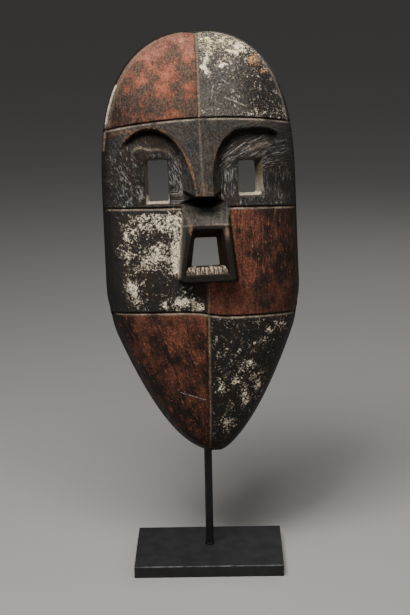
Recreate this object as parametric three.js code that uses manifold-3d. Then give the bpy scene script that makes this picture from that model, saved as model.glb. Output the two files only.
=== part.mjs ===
// Carved wooden face mask, held up by a round steel post on a flat steel base.
// Millimetres, +Z up. The origin is the centre of the base's underside, and the mask faces -Y.
// The mask is shaped in a frame of its own: x to the viewer's right, z up along the mask from the
// chin, and depth forward of the plane that its rim lies in. That frame is then leant and turned.
import * as THREE from "three";
import { mergeVertices } from "three/addons/utils/BufferGeometryUtils.js";
import Module from "manifold-3d";

const wasm = await Module();
wasm.setup();

// Driving dimensions of the stand
const BASE_WIDTH = 150;
const BASE_DEPTH = 100;
const BASE_THICKNESS = 12;
const BASE_BEVEL = 0.6;
const POST_RADIUS = 4;
const POST_X = 0.6;
const POST_Y = 7.4;
const POST_BEND_RADIUS = 10;
const POST_SIDES = 14;
const GAP = 0.35;

// Driving dimensions of the mask
const MASK_HEIGHT = 423;
const MASK_WIDTH = 195;
const RIM_WIDTH = 14;
const WALL = 15;
const EDGE_DEPTH = 8;
const EDGE_BEVEL = 3.5;
const DOME_DEPTH = 44;
const JAW_ROUNDING = 2.8;
const NOSE_LIFT = 16;
const SOCKET_DEPTH = 9;
const MOUTH_DEPTH = 63;
const CHIN_X = 4.2;
const CHIN_Z = 115.8;
const LEAN_BACK = THREE.MathUtils.degToRad(10);
const TURN = THREE.MathUtils.degToRad(6);

// Heights on the mask
const MIDDLE_Z = 225;
const TEMPLE_Z = 0.615 * MASK_HEIGHT;
const JAW_Z = 0.346 * MASK_HEIGHT;
const DEEPEST_Z = 0.567 * MASK_HEIGHT;
const NOSE_TIP_Z = 258;
const NOSE_STEP = 2;
const BROW_Z = 335;
const POST_TIP_Z = 150;

const { clamp, lerp, smoothstep } = THREE.MathUtils;
const HALF_WIDTH = MASK_WIDTH / 2;
const FRONT_SHRINK_X = 1 - EDGE_BEVEL / HALF_WIDTH;
const FRONT_SHRINK_Z = 1 - (2 * EDGE_BEVEL) / MASK_HEIGHT;
const HOLLOW_SHRINK_X = 1 - RIM_WIDTH / HALF_WIDTH;
const HOLLOW_SHRINK_Z = 1 - (2 * RIM_WIDTH) / MASK_HEIGHT;
const END_TRIM = 0.6;

const at = (x, depth, z) => new THREE.Vector3(x, -depth, z);

// Half the mask's width at a height: a round forehead, straight sides and a pointed chin.
function halfWidth(z) {
  const up = clamp((z - TEMPLE_Z) / (MASK_HEIGHT - TEMPLE_Z), 0, 1);
  const forehead = (1 - up ** 2.9) ** (1 / 2.3);
  const chin = clamp(z / JAW_Z, 0, 1) ** (1 / 1.8);
  const jawCorner = JAW_ROUNDING * Math.exp(-(((z - JAW_Z) / 12) ** 2));
  return HALF_WIDTH * forehead * chin - jawCorner;
}

// The carver's outline drifts to one side by a few millimetres, and its tip to the other.
function middleX(z) {
  const t = clamp(z / MASK_HEIGHT, 0, 1);
  return 4.5 * Math.exp(-z / 10) - 2.4 * Math.sin(Math.PI * t ** 1.5) ** 0.6;
}

// How far a height is along the dome, from 0 at the top and the chin to 1 where it is deepest.
function domeAlong(z) {
  const up = clamp((z - DEEPEST_Z) / (MASK_HEIGHT - DEEPEST_Z), 0, 1);
  const down = clamp((DEEPEST_Z - z) / DEEPEST_Z, 0, 1);
  return (1 - up ** 2.6) ** (1 / 1.6) * (1 - down ** 2) ** (1 / 1.3);
}

// The same across the mask, from 0 at the sides to 1 in the middle.
const domeAcross = (side) => (1 - clamp(Math.abs(side), 0, 1) ** 2.3) ** (1 / 1.7);

// An outline drawn smaller about the mask's middle: its own height back to the rim's height.
const rimHeight = (z, shrink) => clamp(MIDDLE_Z + (z - MIDDLE_Z) / shrink, 0, MASK_HEIGHT);

// Depth of the plain domed front, with no brow, nose or mouth.
function domeDepth(x, z) {
  const height = rimHeight(z, FRONT_SHRINK_Z);
  const side = (x - middleX(height)) / (halfWidth(height) * FRONT_SHRINK_X);
  return EDGE_DEPTH + DOME_DEPTH * domeAlong(height) * domeAcross(side);
}

// The line down the middle of the face: straight over the jaw, bowed over nose and forehead.
function medianX(z) {
  const up = clamp((z - 200) / (MASK_HEIGHT - 200), 0, 1);
  return -2.4 - 2.4 * Math.sin(Math.PI * up);
}

// How far the flat plane of brow and nose stands forward of the dome.
function noseLift(x, z) {
  if (z < NOSE_TIP_Z - NOSE_STEP / 2) return 0;
  const down = clamp((BROW_Z - z) / (BROW_Z - NOSE_TIP_Z), 0, 1);
  const off = (x - medianX(z)) / 32;
  return NOSE_LIFT * down ** 1.2 * Math.exp(-(off ** 4));
}

const frontDepth = (x, z) => domeDepth(x, z) + noseLift(x, z);

// A closed surface through rings that all have the same number of points.
function loft(rings) {
  const count = rings[0].length;
  const points = rings.flat();
  const index = [];
  for (let r = 0; r + 1 < rings.length; r++) {
    for (let i = 0; i < count; i++) {
      const a = r * count + i;
      const b = r * count + ((i + 1) % count);
      index.push(a, b, b + count, a, b + count, a + count);
    }
  }
  for (const ring of [rings[0], rings[rings.length - 1]]) {
    const first = ring === rings[0];
    const start = first ? 0 : (rings.length - 1) * count;
    const centre = points.length;
    points.push(ring.reduce((sum, p) => sum.clone().add(p)).clone().divideScalar(count));
    for (let i = 0; i < count; i++) {
      const a = start + i;
      const b = start + ((i + 1) % count);
      if (first) index.push(b, a, centre);
      else index.push(a, b, centre);
    }
  }
  return new THREE.BufferGeometry().setFromPoints(points).setIndex(index);
}

// A closed geometry as a solid for joining and cutting, with its faces turned to look out.
function solid(geometry) {
  const bare = geometry.clone();
  bare.deleteAttribute("normal");
  bare.deleteAttribute("uv");
  const merged = mergeVertices(bare, 1e-4);
  const make = (triVerts) =>
    new wasm.Manifold(
      new wasm.Mesh({ numProp: 3, vertProperties: merged.attributes.position.array, triVerts }),
    );
  const made = make(new Uint32Array(merged.index.array));
  return made.volume() > 0 ? made : make(new Uint32Array(merged.index.array).reverse());
}

const loftSolid = (rings) => solid(loft(rings));

function geometryOf(made) {
  const mesh = made.getMesh();
  const geometry = new THREE.BufferGeometry();
  geometry.setAttribute("position", new THREE.BufferAttribute(mesh.vertProperties, mesh.numProp));
  geometry.setIndex(new THREE.BufferAttribute(mesh.triVerts, 1));
  const flat = geometry.toNonIndexed();
  flat.computeVertexNormals();
  return flat;
}

// Steps from 0 to 1 that lie closer together at both ends.
function crowdedSteps(count, crowding) {
  const steps = [];
  for (let i = 0; i <= count; i++) {
    const u = i / count;
    steps.push(u - (crowding * Math.sin(2 * Math.PI * u)) / (2 * Math.PI));
  }
  return steps;
}

// Places across the mask, from -1 to 1, closer together where its sides turn steep.
function placesAcross(count) {
  const places = [];
  for (let i = 0; i <= count; i++) places.push(Math.sin((Math.PI / 2) * ((2 * i) / count - 1)));
  return places;
}

function rimHeights(count) {
  const span = MASK_HEIGHT - 2 * END_TRIM;
  return crowdedSteps(count, 0.7).map((t) => END_TRIM + span * t);
}

// The block with its domed front and nose: one ring across the mask for each height.
function block() {
  const places = placesAcross(26);
  const stepHeights = [NOSE_TIP_Z, NOSE_TIP_Z - NOSE_STEP].map((z) => rimHeight(z, FRONT_SHRINK_Z));
  const clearOfStep = (z) => stepHeights.every((step) => Math.abs(step - z) > 2 * NOSE_STEP);
  const heights = rimHeights(42).filter(clearOfStep).concat(stepHeights);
  heights.sort((a, b) => a - b);
  return loftSolid(
    heights.map((height) => {
      const z = lerp(MIDDLE_Z, height, FRONT_SHRINK_Z);
      const half = halfWidth(height);
      const middle = middleX(height);
      const front = places.map((side) => {
        const x = middle + side * half * FRONT_SHRINK_X;
        return at(x, frontDepth(x, z), z);
      });
      return [at(middle - half, 0, height), ...front, at(middle + half, 0, height)];
    }),
  );
}

// Depth of the hollow's inner wall.
function hollowDepth(x, z) {
  const height = rimHeight(z, HOLLOW_SHRINK_Z);
  const side = (x - middleX(height)) / (halfWidth(height) * HOLLOW_SHRINK_X);
  const deepest = EDGE_DEPTH + DOME_DEPTH * domeAlong(rimHeight(z, FRONT_SHRINK_Z)) - WALL;
  return Math.max(deepest, 1.5) * domeAcross(side);
}

// The hollow behind the face, drawn past the rim's plane so that it opens there.
function hollow() {
  const places = placesAcross(14);
  const behind = -3;
  return loftSolid(
    rimHeights(22).map((height) => {
      const z = lerp(MIDDLE_Z, height, HOLLOW_SHRINK_Z);
      const half = halfWidth(height) * HOLLOW_SHRINK_X;
      const middle = middleX(height);
      const wall = places.map((side) => {
        const x = middle + side * half;
        return at(x, hollowDepth(x, z), z);
      });
      return [at(middle - half, behind, z), ...wall, at(middle + half, behind, z)];
    }),
  );
}

// An eye socket under its brow. The brow is the upper half of the border: a sharp edge that bends
// down into the side of the nose. Below and outside, the border fades into the face.
const SOCKETS = [
  {
    sign: -1, middle: 49.5, brow: 325.4, inner: 42.3, outer: 41,
    innerPower: 1, outerPower: 1, scoopPower: 3,
  },
  {
    sign: 1, middle: 49, brow: 323.5, inner: 40.4, outer: 41,
    innerPower: 0.85, outerPower: 0.5, scoopPower: 1.6,
  },
];
const SOCKET_DOWN = 7;
const PLATE_Z = 280;
const PLATE_DEPTH = 4;
const SOFT_DROP = 1.3;
const FLANK_TOP_Z = 312;
const FLANK_WIDTH = 15.5;
const SCOOP_WIDTH = 18;
const SCOOP_ROOM = 9;

function socket({ sign, middle, brow, inner, outer, innerPower, outerPower, scoopPower }) {
  const sections = 40;
  const rings = [[], [], [], [], [], [], [], []];
  const reach = 100;
  for (let i = 0; i < sections; i++) {
    const angle = (2 * Math.PI * i) / sections;
    const across = Math.cos(angle);
    const along = Math.sin(angle);
    const lower = along < 0;
    const upperPower = across > 0 ? outerPower : innerPower;
    const power = lower ? 0.5 : upperPower;
    const wide = across > 0 ? outer : inner;
    const fromMiddle = middle + wide * Math.sign(across) * Math.abs(across) ** power;
    const border = new THREE.Vector2(
      sign * fromMiddle,
      NOSE_TIP_Z + (lower ? -SOCKET_DOWN : brow - NOSE_TIP_Z) * Math.abs(along) ** power,
    );
    border.x += medianX(border.y);
    const centre = new THREE.Vector2(sign * middle + medianX(PLATE_Z), PLATE_Z);
    const radius = border.distanceTo(centre);
    const nose = clamp((FLANK_TOP_Z - border.y) / (FLANK_TOP_Z - NOSE_TIP_Z), 0, 1);
    const soft = lower ? 1 : smoothstep(across, 0.35, 0.8);
    const sharpWall = across < 0 ? lerp(2, FLANK_WIDTH, nose) : 2;
    const wall = lerp(sharpWall, 3, soft);
    const reachIn = Math.abs(along) ** scoopPower * (1 - 0.5 * Math.max(across, 0));
    const scoop = wall + lerp(1 + SCOOP_WIDTH * reachIn, 12, soft);
    const room = clamp((scoop - wall) / SCOOP_ROOM, 0, 1);
    const drop = lerp(lerp(PLATE_DEPTH, SOCKET_DEPTH, room), SOFT_DROP, soft);
    const halfScooped = PLATE_DEPTH + 0.7 * (drop - PLATE_DEPTH);
    const place = (out) => border.clone().lerp(centre, clamp(-out / radius, -1, 1));
    const floor = (out, depth) => {
      const p = place(out);
      return at(p.x, domeDepth(p.x, p.y) - depth, p.y);
    };
    const edge = at(border.x, frontDepth(border.x, border.y), border.y);
    const foot = floor(-wall, drop);
    const beyond = edge.clone().lerp(foot, -0.25);
    rings[0].push(floor(-0.97 * radius, PLATE_DEPTH));
    rings[1].push(floor(-lerp(scoop, radius, 0.5), PLATE_DEPTH));
    rings[2].push(floor(-scoop, PLATE_DEPTH));
    rings[3].push(floor(-lerp(wall, scoop, 0.5), halfScooped));
    rings[4].push(foot);
    rings[5].push(edge);
    rings[6].push(beyond);
    rings[7].push(at(beyond.x, reach, beyond.z));
  }
  return loftSolid(rings);
}

// A window with cut corners, as eight points at an equal distance behind the socket's floor.
function windowRing({ left, right, low, high }, behind, corner = 2.5) {
  const point = (x, z) => at(x, domeDepth(x, z) - PLATE_DEPTH - behind, z);
  return [
    point(left + corner, low),
    point(right - corner, low),
    point(right, low + corner),
    point(right, high - corner),
    point(right - corner, high),
    point(left + corner, high),
    point(left, high - corner),
    point(left, low + corner),
  ];
}

// Each eye is wide in front and narrower behind: its sill and outer side slope.
const EYES = [
  {
    front: { left: -58.7, right: -35.6, low: 252.3, high: 296 },
    back: { left: -55, right: -35.8, low: 255, high: 294.8 },
  },
  {
    front: { left: 31.3, right: 57.2, low: 257.3, high: 294 },
    back: { left: 33.8, right: 50.3, low: 260.5, high: 291.8 },
  },
];

function eye({ front, back }) {
  const taper = 11;
  const extend = 20;
  const wide = windowRing(front, 0);
  const narrow = windowRing(back, taper);
  const outside = wide.map((p, i) => p.clone().lerp(narrow[i], -extend / taper / 2));
  const inside = narrow.map((p) => p.clone().setY(p.y + extend));
  return loftSolid([inside, narrow, outside]);
}

// The box mouth: four-sided sections, each wider at the bottom, that narrow towards the front.
const MOUTH_ROOT = { low: 176.5, high: 244, lowX: -1.1, highX: -1.3, lowHalf: 29.8, highHalf: 23.1 };
const MOUTH_FRONT = { low: 176, high: 230.3, lowX: -2.4, highX: -0.6, lowHalf: 27.1, highHalf: 19.9 };
const MOUTH_LIP = { low: 181.5, high: 226.7, lowX: -3.2, highX: -1.4, lowHalf: 22.1, highHalf: 14.8 };
const MOUTH_THROAT = { low: 190.5, high: 218.4, lowX: -2.7, highX: -2, lowHalf: 14.6, highHalf: 11.2 };

function mouthRing({ low, high, lowX, highX, lowHalf, highHalf }, depth) {
  return [
    at(lowX - lowHalf, depth, low),
    at(lowX + lowHalf, depth, low),
    at(highX + highHalf, depth, high),
    at(highX - highHalf, depth, high),
  ];
}

function mouthBox() {
  const faceDepth = domeDepth(MOUTH_ROOT.lowX, (MOUTH_ROOT.low + MOUTH_ROOT.high) / 2);
  const root = mouthRing(MOUTH_ROOT, faceDepth);
  const front = mouthRing(MOUTH_FRONT, MOUTH_DEPTH);
  const buried = root.map((p, i) => p.clone().lerp(front[i], -0.5));
  return loftSolid([buried, front]);
}

function mouthOpening() {
  const throatDepth = MOUTH_DEPTH - 13;
  const lip = mouthRing(MOUTH_LIP, MOUTH_DEPTH);
  const throat = mouthRing(MOUTH_THROAT, throatDepth);
  const outside = lip.map((p, i) => p.clone().lerp(throat[i], -0.1));
  const inside = throat.map((p) => p.clone().setY(0));
  return loftSolid([inside, throat, outside]);
}

// The lower teeth, a row of small blocks that stand on the slope inside the lower lip.
const TEETH = 9;

function tooth(number) {
  const lipSpan = 2 * MOUTH_LIP.lowHalf - 3;
  const throatSpan = 2 * MOUTH_THROAT.lowHalf;
  const share = (edge) => (number + edge) / TEETH - 0.5;
  const section = (edge) => {
    const outer = MOUTH_LIP.lowX + share(edge) * lipSpan;
    const inner = MOUTH_THROAT.lowX + share(edge) * throatSpan;
    const crest = lerp(outer, inner, 0.4);
    return [
      at(outer, MOUTH_DEPTH - 1.5, MOUTH_LIP.low - 1),
      at(outer, MOUTH_DEPTH - 1.8, MOUTH_LIP.low + 3),
      at(crest, MOUTH_DEPTH - 5.5, MOUTH_THROAT.low - 0.4),
      at(inner, MOUTH_DEPTH - 12, MOUTH_THROAT.low + 0.2),
      at(inner, MOUTH_DEPTH - 13, MOUTH_THROAT.low - 2),
    ];
  };
  return loftSolid([section(0.1), section(0.9)]);
}

// The shadowed hollow under the tip of the nose: a lens, pointed at both ends.
const NOSTRIL = { half: 25, tall: 5.4, deep: 10, axis: 53 };

function nostrilHollow() {
  const sides = 10;
  const middle = NOSE_TIP_Z - NOSTRIL.tall;
  const places = placesAcross(14).map((p) => 0.98 * p);
  return loftSolid(
    places.map((place) => {
      const full = 1 - place ** 2 + 0.03;
      const x = medianX(NOSE_TIP_Z) + 0.6 + NOSTRIL.half * place;
      const ring = [];
      for (let i = 0; i < sides; i++) {
        const angle = (2 * Math.PI * i) / sides;
        const depth = NOSTRIL.axis + NOSTRIL.deep * full * Math.cos(angle);
        ring.push(at(x, depth, middle + NOSTRIL.tall * full * Math.sin(angle)));
      }
      return ring;
    }),
  );
}

// The front's outward direction at a point of it.
function frontNormal(x, z) {
  const step = 0.5;
  const slopeX = (frontDepth(x + step, z) - frontDepth(x - step, z)) / (2 * step);
  const slopeZ = (frontDepth(x, z + step) - frontDepth(x, z - step)) / (2 * step);
  return new THREE.Vector3(-slopeX, -1, -slopeZ).normalize();
}

function onFront(x, z) {
  return { point: at(x, frontDepth(x, z), z), normal: frontNormal(x, z) };
}

const X_AXIS = new THREE.Vector3(1, 0, 0);
const Z_AXIS = new THREE.Vector3(0, 0, 1);
const CUT_OVER = 2;

// A V-shaped cut along points of the surface.
function cutAlong(path, across, width, depth) {
  const spread = (width / 2) * (1 + CUT_OVER / depth);
  return loftSolid(
    path.map(({ point, normal }) => [
      point.clone().addScaledVector(normal, -depth),
      point.clone().addScaledVector(normal, CUT_OVER).addScaledVector(across, spread),
      point.clone().addScaledVector(normal, CUT_OVER).addScaledVector(across, -spread),
    ]),
  );
}

// A cut across the face, from one side of the rim to the other or between two places on it.
function crossCut(heightAt, fromX = null, toX = null) {
  const edgeX = (sign) => {
    let x = 0;
    for (let i = 0; i < 3; i++) {
      const height = rimHeight(heightAt(x), FRONT_SHRINK_Z);
      x = middleX(height) + sign * halfWidth(height) * FRONT_SHRINK_X;
    }
    return x;
  };
  const left = fromX ?? edgeX(-1);
  const right = toX ?? edgeX(1);
  const path = placesAcross(26).map((place) => {
    const x = lerp(left, right, (place + 1) / 2) * 0.9995;
    return onFront(x, heightAt(x));
  });
  const side = (x, sign) => {
    const point = at(x + sign * EDGE_BEVEL, -1, heightAt(x));
    return { point, normal: X_AXIS.clone().multiplyScalar(sign) };
  };
  if (fromX === null) path.unshift(side(left, -1));
  if (toX === null) path.push(side(right, 1));
  return cutAlong(path, Z_AXIS, 3.2, 2.2);
}

// A cut down the median line between two heights, run over the rim where it reaches an end.
function medianCut(fromZ, toZ, width, depth) {
  const lowEnd = lerp(MIDDLE_Z, END_TRIM, FRONT_SHRINK_Z);
  const highEnd = lerp(MIDDLE_Z, MASK_HEIGHT - END_TRIM, FRONT_SHRINK_Z);
  const low = Math.max(fromZ, lowEnd);
  const high = Math.min(toZ, highEnd);
  const path = crowdedSteps(22, 0.8).map((t) => {
    const z = lerp(low, high, t);
    return onFront(medianX(z), z);
  });
  const overEdge = (z, sign) => {
    const point = at(medianX(z), -1, z + sign * EDGE_BEVEL);
    return { point, normal: Z_AXIS.clone().multiplyScalar(sign) };
  };
  if (fromZ < lowEnd) path.unshift(overEdge(lowEnd, -1));
  if (toZ > highEnd) path.push(overEdge(highEnd, 1));
  return cutAlong(path, X_AXIS, width, depth);
}

const foreheadCut = (x) => 334 + 0.013 * x - 0.0007 * x ** 2;
const cheekCut = (x) => 247.7 - 0.02 * x;
const jawCut = (x) => 143.4 - 3.1 * Math.tanh((x + 2) / 15);

function carvedMask() {
  let made = block().subtract(hollow());
  for (const side of SOCKETS) made = made.subtract(socket(side));
  made = made.subtract(nostrilHollow()).add(mouthBox()).subtract(mouthOpening());
  for (let number = 0; number < TEETH; number++) made = made.add(tooth(number));
  for (const each of EYES) made = made.subtract(eye(each));
  const cuts = [
    crossCut(foreheadCut),
    crossCut(cheekCut, null, -25),
    crossCut(cheekCut, 21, null),
    crossCut(jawCut),
    medianCut(foreheadCut(0), MASK_HEIGHT, 3.4, 1.8),
    medianCut(NOSE_TIP_Z + 2, foreheadCut(0) + 1, 1.4, 0.8),
    medianCut(0, MOUTH_FRONT.low - 3, 3.4, 1.8),
  ];
  for (const cut of cuts) made = made.subtract(cut);
  return made;
}

// Materials
const wood = new THREE.MeshStandardMaterial({ color: 0x4a2f26, roughness: 0.7, metalness: 0 });
const steel = new THREE.MeshStandardMaterial({ color: 0x1c1c1c, roughness: 0.5, metalness: 0.3 });

function named(name, geometry, material) {
  const mesh = new THREE.Mesh(geometry, material);
  mesh.name = name;
  return mesh;
}

// The mask's frame: its chin stands just in front of the post, clear of it behind the rim.
const CHIN_Y = POST_Y - POST_RADIUS - GAP - (RIM_WIDTH + 1) * Math.tan(LEAN_BACK);
const maskFrame = new THREE.Group();
maskFrame.position.set(CHIN_X, CHIN_Y, CHIN_Z);
maskFrame.rotation.set(-LEAN_BACK, 0, TURN, "ZXY");
maskFrame.updateMatrix();
maskFrame.add(named("mask", geometryOf(carvedMask()), wood));

// The post rises behind the chin into the hollow, and its bent end bears on the inner wall.
function postPath() {
  const toMask = maskFrame.matrix.clone().invert();
  const rise = POST_TIP_Z * Math.cos(LEAN_BACK);
  const corner = new THREE.Vector3(POST_X, POST_Y, CHIN_Z + rise);
  const cornerOnMask = corner.clone().applyMatrix4(toMask);
  const wallDepth = hollowDepth(cornerOnMask.x, cornerOnMask.z);
  const tip = at(cornerOnMask.x, wallDepth - 3 * GAP, cornerOnMask.z).applyMatrix4(maskFrame.matrix);
  const foot = new THREE.Vector3(POST_X, POST_Y, BASE_THICKNESS + GAP);
  const bendStart = corner.clone().setZ(corner.z - POST_BEND_RADIUS);
  const bendEnd = corner.clone().lerp(tip, POST_BEND_RADIUS / corner.distanceTo(tip));
  const path = new THREE.CurvePath();
  path.add(new THREE.LineCurve3(foot, bendStart));
  path.add(new THREE.QuadraticBezierCurve3(bendStart, corner, bendEnd));
  path.add(new THREE.LineCurve3(bendEnd, tip));
  return path;
}

function post() {
  const section = new THREE.Shape().absarc(0, 0, POST_RADIUS, 0, 2 * Math.PI, false);
  const geometry = new THREE.ExtrudeGeometry(section, {
    extrudePath: postPath(),
    steps: 40,
    curveSegments: POST_SIDES / 2,
  });
  return named("post", geometry, steel);
}

// The base is a flat plate with its edges just broken.
function base() {
  const halfX = BASE_WIDTH / 2 - BASE_BEVEL;
  const halfY = BASE_DEPTH / 2 - BASE_BEVEL;
  const outline = new THREE.Shape();
  outline.moveTo(-halfX, -halfY);
  outline.lineTo(halfX, -halfY);
  outline.lineTo(halfX, halfY);
  outline.lineTo(-halfX, halfY);
  outline.closePath();
  const geometry = new THREE.ExtrudeGeometry(outline, {
    depth: BASE_THICKNESS - 2 * BASE_BEVEL,
    bevelThickness: BASE_BEVEL,
    bevelSize: BASE_BEVEL,
    bevelSegments: 1,
  });
  geometry.translate(0, 0, BASE_BEVEL);
  return named("base", geometry, steel);
}

const maskOnStand = new THREE.Group();
maskOnStand.add(base(), post(), maskFrame);

export default maskOnStand;
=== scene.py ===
import math
from collections import namedtuple

import bmesh
import bpy
import numpy as np
from mathutils import Matrix, Vector


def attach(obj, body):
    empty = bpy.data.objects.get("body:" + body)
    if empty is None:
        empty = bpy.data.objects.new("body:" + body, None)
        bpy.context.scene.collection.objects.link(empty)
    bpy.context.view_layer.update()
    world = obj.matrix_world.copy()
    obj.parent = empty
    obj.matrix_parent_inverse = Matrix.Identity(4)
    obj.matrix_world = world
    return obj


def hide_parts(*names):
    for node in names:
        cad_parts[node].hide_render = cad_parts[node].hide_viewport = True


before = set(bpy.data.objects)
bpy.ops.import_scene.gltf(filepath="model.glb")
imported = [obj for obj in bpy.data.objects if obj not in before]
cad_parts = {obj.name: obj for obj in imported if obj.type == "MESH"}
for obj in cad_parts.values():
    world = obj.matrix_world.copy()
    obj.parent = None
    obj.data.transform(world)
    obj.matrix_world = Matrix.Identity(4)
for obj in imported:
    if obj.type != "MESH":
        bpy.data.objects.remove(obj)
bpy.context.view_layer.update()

# A carved and painted wooden face mask on a steel post and base.
# Mask sizes are in millimetres in the mask's own frame: x to the viewer's right, z up along the
# mask from its chin, and depth forward of the plane of its rim. on_stand turns that frame into
# the stand's, which is the row's frame in millimetres.
MM = 0.001
MASK_HEIGHT = 423.0
MASK_WIDTH = 195.0
RIM_WIDTH = 14.0
WALL = 15.0
EDGE_DEPTH = 8.0
EDGE_BEVEL = 3.5
DOME_DEPTH = 44.0
JAW_ROUNDING = 2.8
NOSE_LIFT = 16.0
NOSE_HALF = 32.0
SOCKET_DEPTH = 9.0
PLATE_DEPTH = 4.0
SOFT_DROP = 1.3
MOUTH_DEPTH = 63.0
END_TRIM = 0.7
MIDDLE_Z = 225.0
TEMPLE_Z = 0.615 * MASK_HEIGHT
JAW_Z = 0.346 * MASK_HEIGHT
DEEPEST_Z = 0.567 * MASK_HEIGHT
NOSE_TIP_Z = 258.0
BROW_Z = 335.0
INSET = 0.2
HALF_WIDTH = MASK_WIDTH / 2 - INSET

# How much smaller than the mask's outline the edge of its front and of its hollow are
Shrink = namedtuple("Shrink", "across along")
FRONT = Shrink(1 - EDGE_BEVEL / HALF_WIDTH, 1 - 2 * EDGE_BEVEL / MASK_HEIGHT)
HOLLOW = Shrink(1 - RIM_WIDTH / HALF_WIDTH, 1 - 2 * RIM_WIDTH / MASK_HEIGHT)

# The mask on its stand
POST_Y = 7.4
POST_RADIUS = 4.0
GAP = 0.35
LEAN_BACK = math.radians(10)
TURN = math.radians(6)
CHIN = np.array([4.2, POST_Y - POST_RADIUS - GAP - (RIM_WIDTH + 1) * math.tan(LEAN_BACK), 115.8])
LEANT = np.array(Matrix.Rotation(TURN, 3, "Z") @ Matrix.Rotation(-LEAN_BACK, 3, "X"))
FORWARD = np.array([1.0, -1.0, 1.0])


def on_stand(points):
    """Points given as x, depth and z on the mask, in the stand's frame."""
    return points * FORWARD @ LEANT.T + CHIN


def on_mask(points):
    """Points of the stand's frame as x, depth and z on the mask."""
    return (points - CHIN) @ LEANT * FORWARD


def clip01(value):
    return np.clip(value, 0.0, 1.0)


def smooth(value, low, high):
    t = clip01((value - low) / (high - low))
    return t * t * (3 - 2 * t)


def mix(a, b, t):
    return a + (b - a) * t


def hump(off, width, power=2):
    """1 on a line, falling to 0 to both sides of it within about twice the width."""
    return np.exp(-(np.abs(off / width) ** power))


class Lattice:
    """Smooth random relief or tone over x and z, from -1 to 1, the same on every run."""

    def __init__(self, seed, cell_x, cell_z):
        self.cell = (cell_x, cell_z)
        self.table = np.random.default_rng(seed).uniform(-1, 1, (160, 160))

    def __call__(self, x, z):
        place = np.stack((x / self.cell[0] + 80.0, z / self.cell[1] + 20.0))
        corner = np.floor(place).astype(int)
        s, t = smooth(place - corner, 0, 1)
        i, j = corner % 159
        low = mix(self.table[i, j], self.table[i + 1, j], s)
        high = mix(self.table[i, j + 1], self.table[i + 1, j + 1], s)
        return mix(low, high, t)


# Shape of the mask, the same formulas as its solid

def half_width(z):
    up = clip01((z - TEMPLE_Z) / (MASK_HEIGHT - TEMPLE_Z))
    forehead = (1 - up**2.9) ** (1 / 2.3)
    chin = clip01(z / JAW_Z) ** (1 / 1.8)
    return HALF_WIDTH * forehead * chin - JAW_ROUNDING * hump(z - JAW_Z, 12)


def middle_x(z):
    t = clip01(z / MASK_HEIGHT)
    return 4.5 * np.exp(-z / 10) - 2.4 * np.abs(np.sin(math.pi * t**1.5)) ** 0.6


def rim_height(z, shrink):
    """The height on the mask's outline that belongs to a height on the smaller one."""
    return np.clip(MIDDLE_Z + (z - MIDDLE_Z) / shrink.along, 0, MASK_HEIGHT)


def side_place(x, z, shrink):
    """Place across the mask, from -1 to 1 between the two edges of the smaller outline."""
    height = rim_height(z, shrink)
    return (x - middle_x(height)) / (half_width(height) * shrink.across)


def ridge_depth(z):
    """How deep the plain dome is along its middle."""
    height = rim_height(z, FRONT)
    up = clip01((height - DEEPEST_Z) / (MASK_HEIGHT - DEEPEST_Z))
    down = clip01((DEEPEST_Z - height) / DEEPEST_Z)
    return DOME_DEPTH * ((1 - up**2.6) ** (1 / 1.6) * (1 - down**2) ** (1 / 1.3))


def dome_across(side):
    return (1 - clip01(np.abs(side)) ** 2.3) ** (1 / 1.7)


def dome_depth(x, z):
    return EDGE_DEPTH + ridge_depth(z) * dome_across(side_place(x, z, FRONT))


def median_x(z):
    up = clip01((z - 200) / (MASK_HEIGHT - 200))
    return -2.4 - 2.4 * np.sin(math.pi * up)


def nose_lift(x, z):
    down = clip01((BROW_Z - z) / (BROW_Z - NOSE_TIP_Z))
    tip = smooth(z, NOSE_TIP_Z - 0.9, NOSE_TIP_Z - 0.1)
    return NOSE_LIFT * down**1.2 * hump(x - median_x(z), NOSE_HALF, 4) * tip


# Cut lines across the face

def forehead_cut(x):
    return 334 + 0.013 * x - 0.0007 * x**2


def cheek_cut(x):
    return 247.7 - 0.02 * x


def jaw_cut(x):
    return 143.4 - 3.1 * np.tanh((x + 2) / 15)


CROSS_CUTS = (forehead_cut, cheek_cut, jaw_cut)
CUT_DEEP, CUT_ABOVE, CUT_BELOW = 2.0, 0.9, 2.9
MEDIAN_DEEP, MEDIAN_HALF = 1.7, 1.8
MOUTH_CUT_GAP = 23.5
MEDIAN_TOP_Z = 331.0
cut_wobble = Lattice(11, 9.0, 9.0)


def v_cut(off, above, below):
    """1 in the middle of a cut, falling straight to 0 on both sides."""
    return clip01(np.where(off > 0, 1 - off / above, 1 + off / below))


def cut_depth(x, z):
    made = np.zeros_like(x)
    for number, cut in enumerate(CROSS_CUTS):
        off = z - cut(x) + 0.25 * cut_wobble(x, np.full_like(x, 40.0 * number))
        deep = CUT_DEEP + 0.4 * cut_wobble(x + 300, np.full_like(x, 40.0 * number))
        if cut is cheek_cut:
            deep = deep * smooth(np.abs(x + 2), MOUTH_CUT_GAP - 1, MOUTH_CUT_GAP + 1)
        made = np.maximum(made, deep * v_cut(off, CUT_ABOVE, CUT_BELOW))
    strong = MEDIAN_DEEP + 0.3 * cut_wobble(z, np.full_like(x, 200.0))
    on_nose = smooth(z, NOSE_TIP_Z, NOSE_TIP_Z + 2) * (1 - smooth(z, MEDIAN_TOP_Z - 1, MEDIAN_TOP_Z + 2))
    open_line = (z > MEDIAN_TOP_Z) | (z < MOUTH_FRONT.low - 2.5)
    deep = np.where(open_line, strong + 1.6 * smooth(z, 408, 423), 0.5 * on_nose)
    return np.maximum(made, deep * v_cut(x - median_x(z), MEDIAN_HALF, MEDIAN_HALF))


# Eye sockets, each with a border that is sharp at the brow and the nose and soft elsewhere

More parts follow.
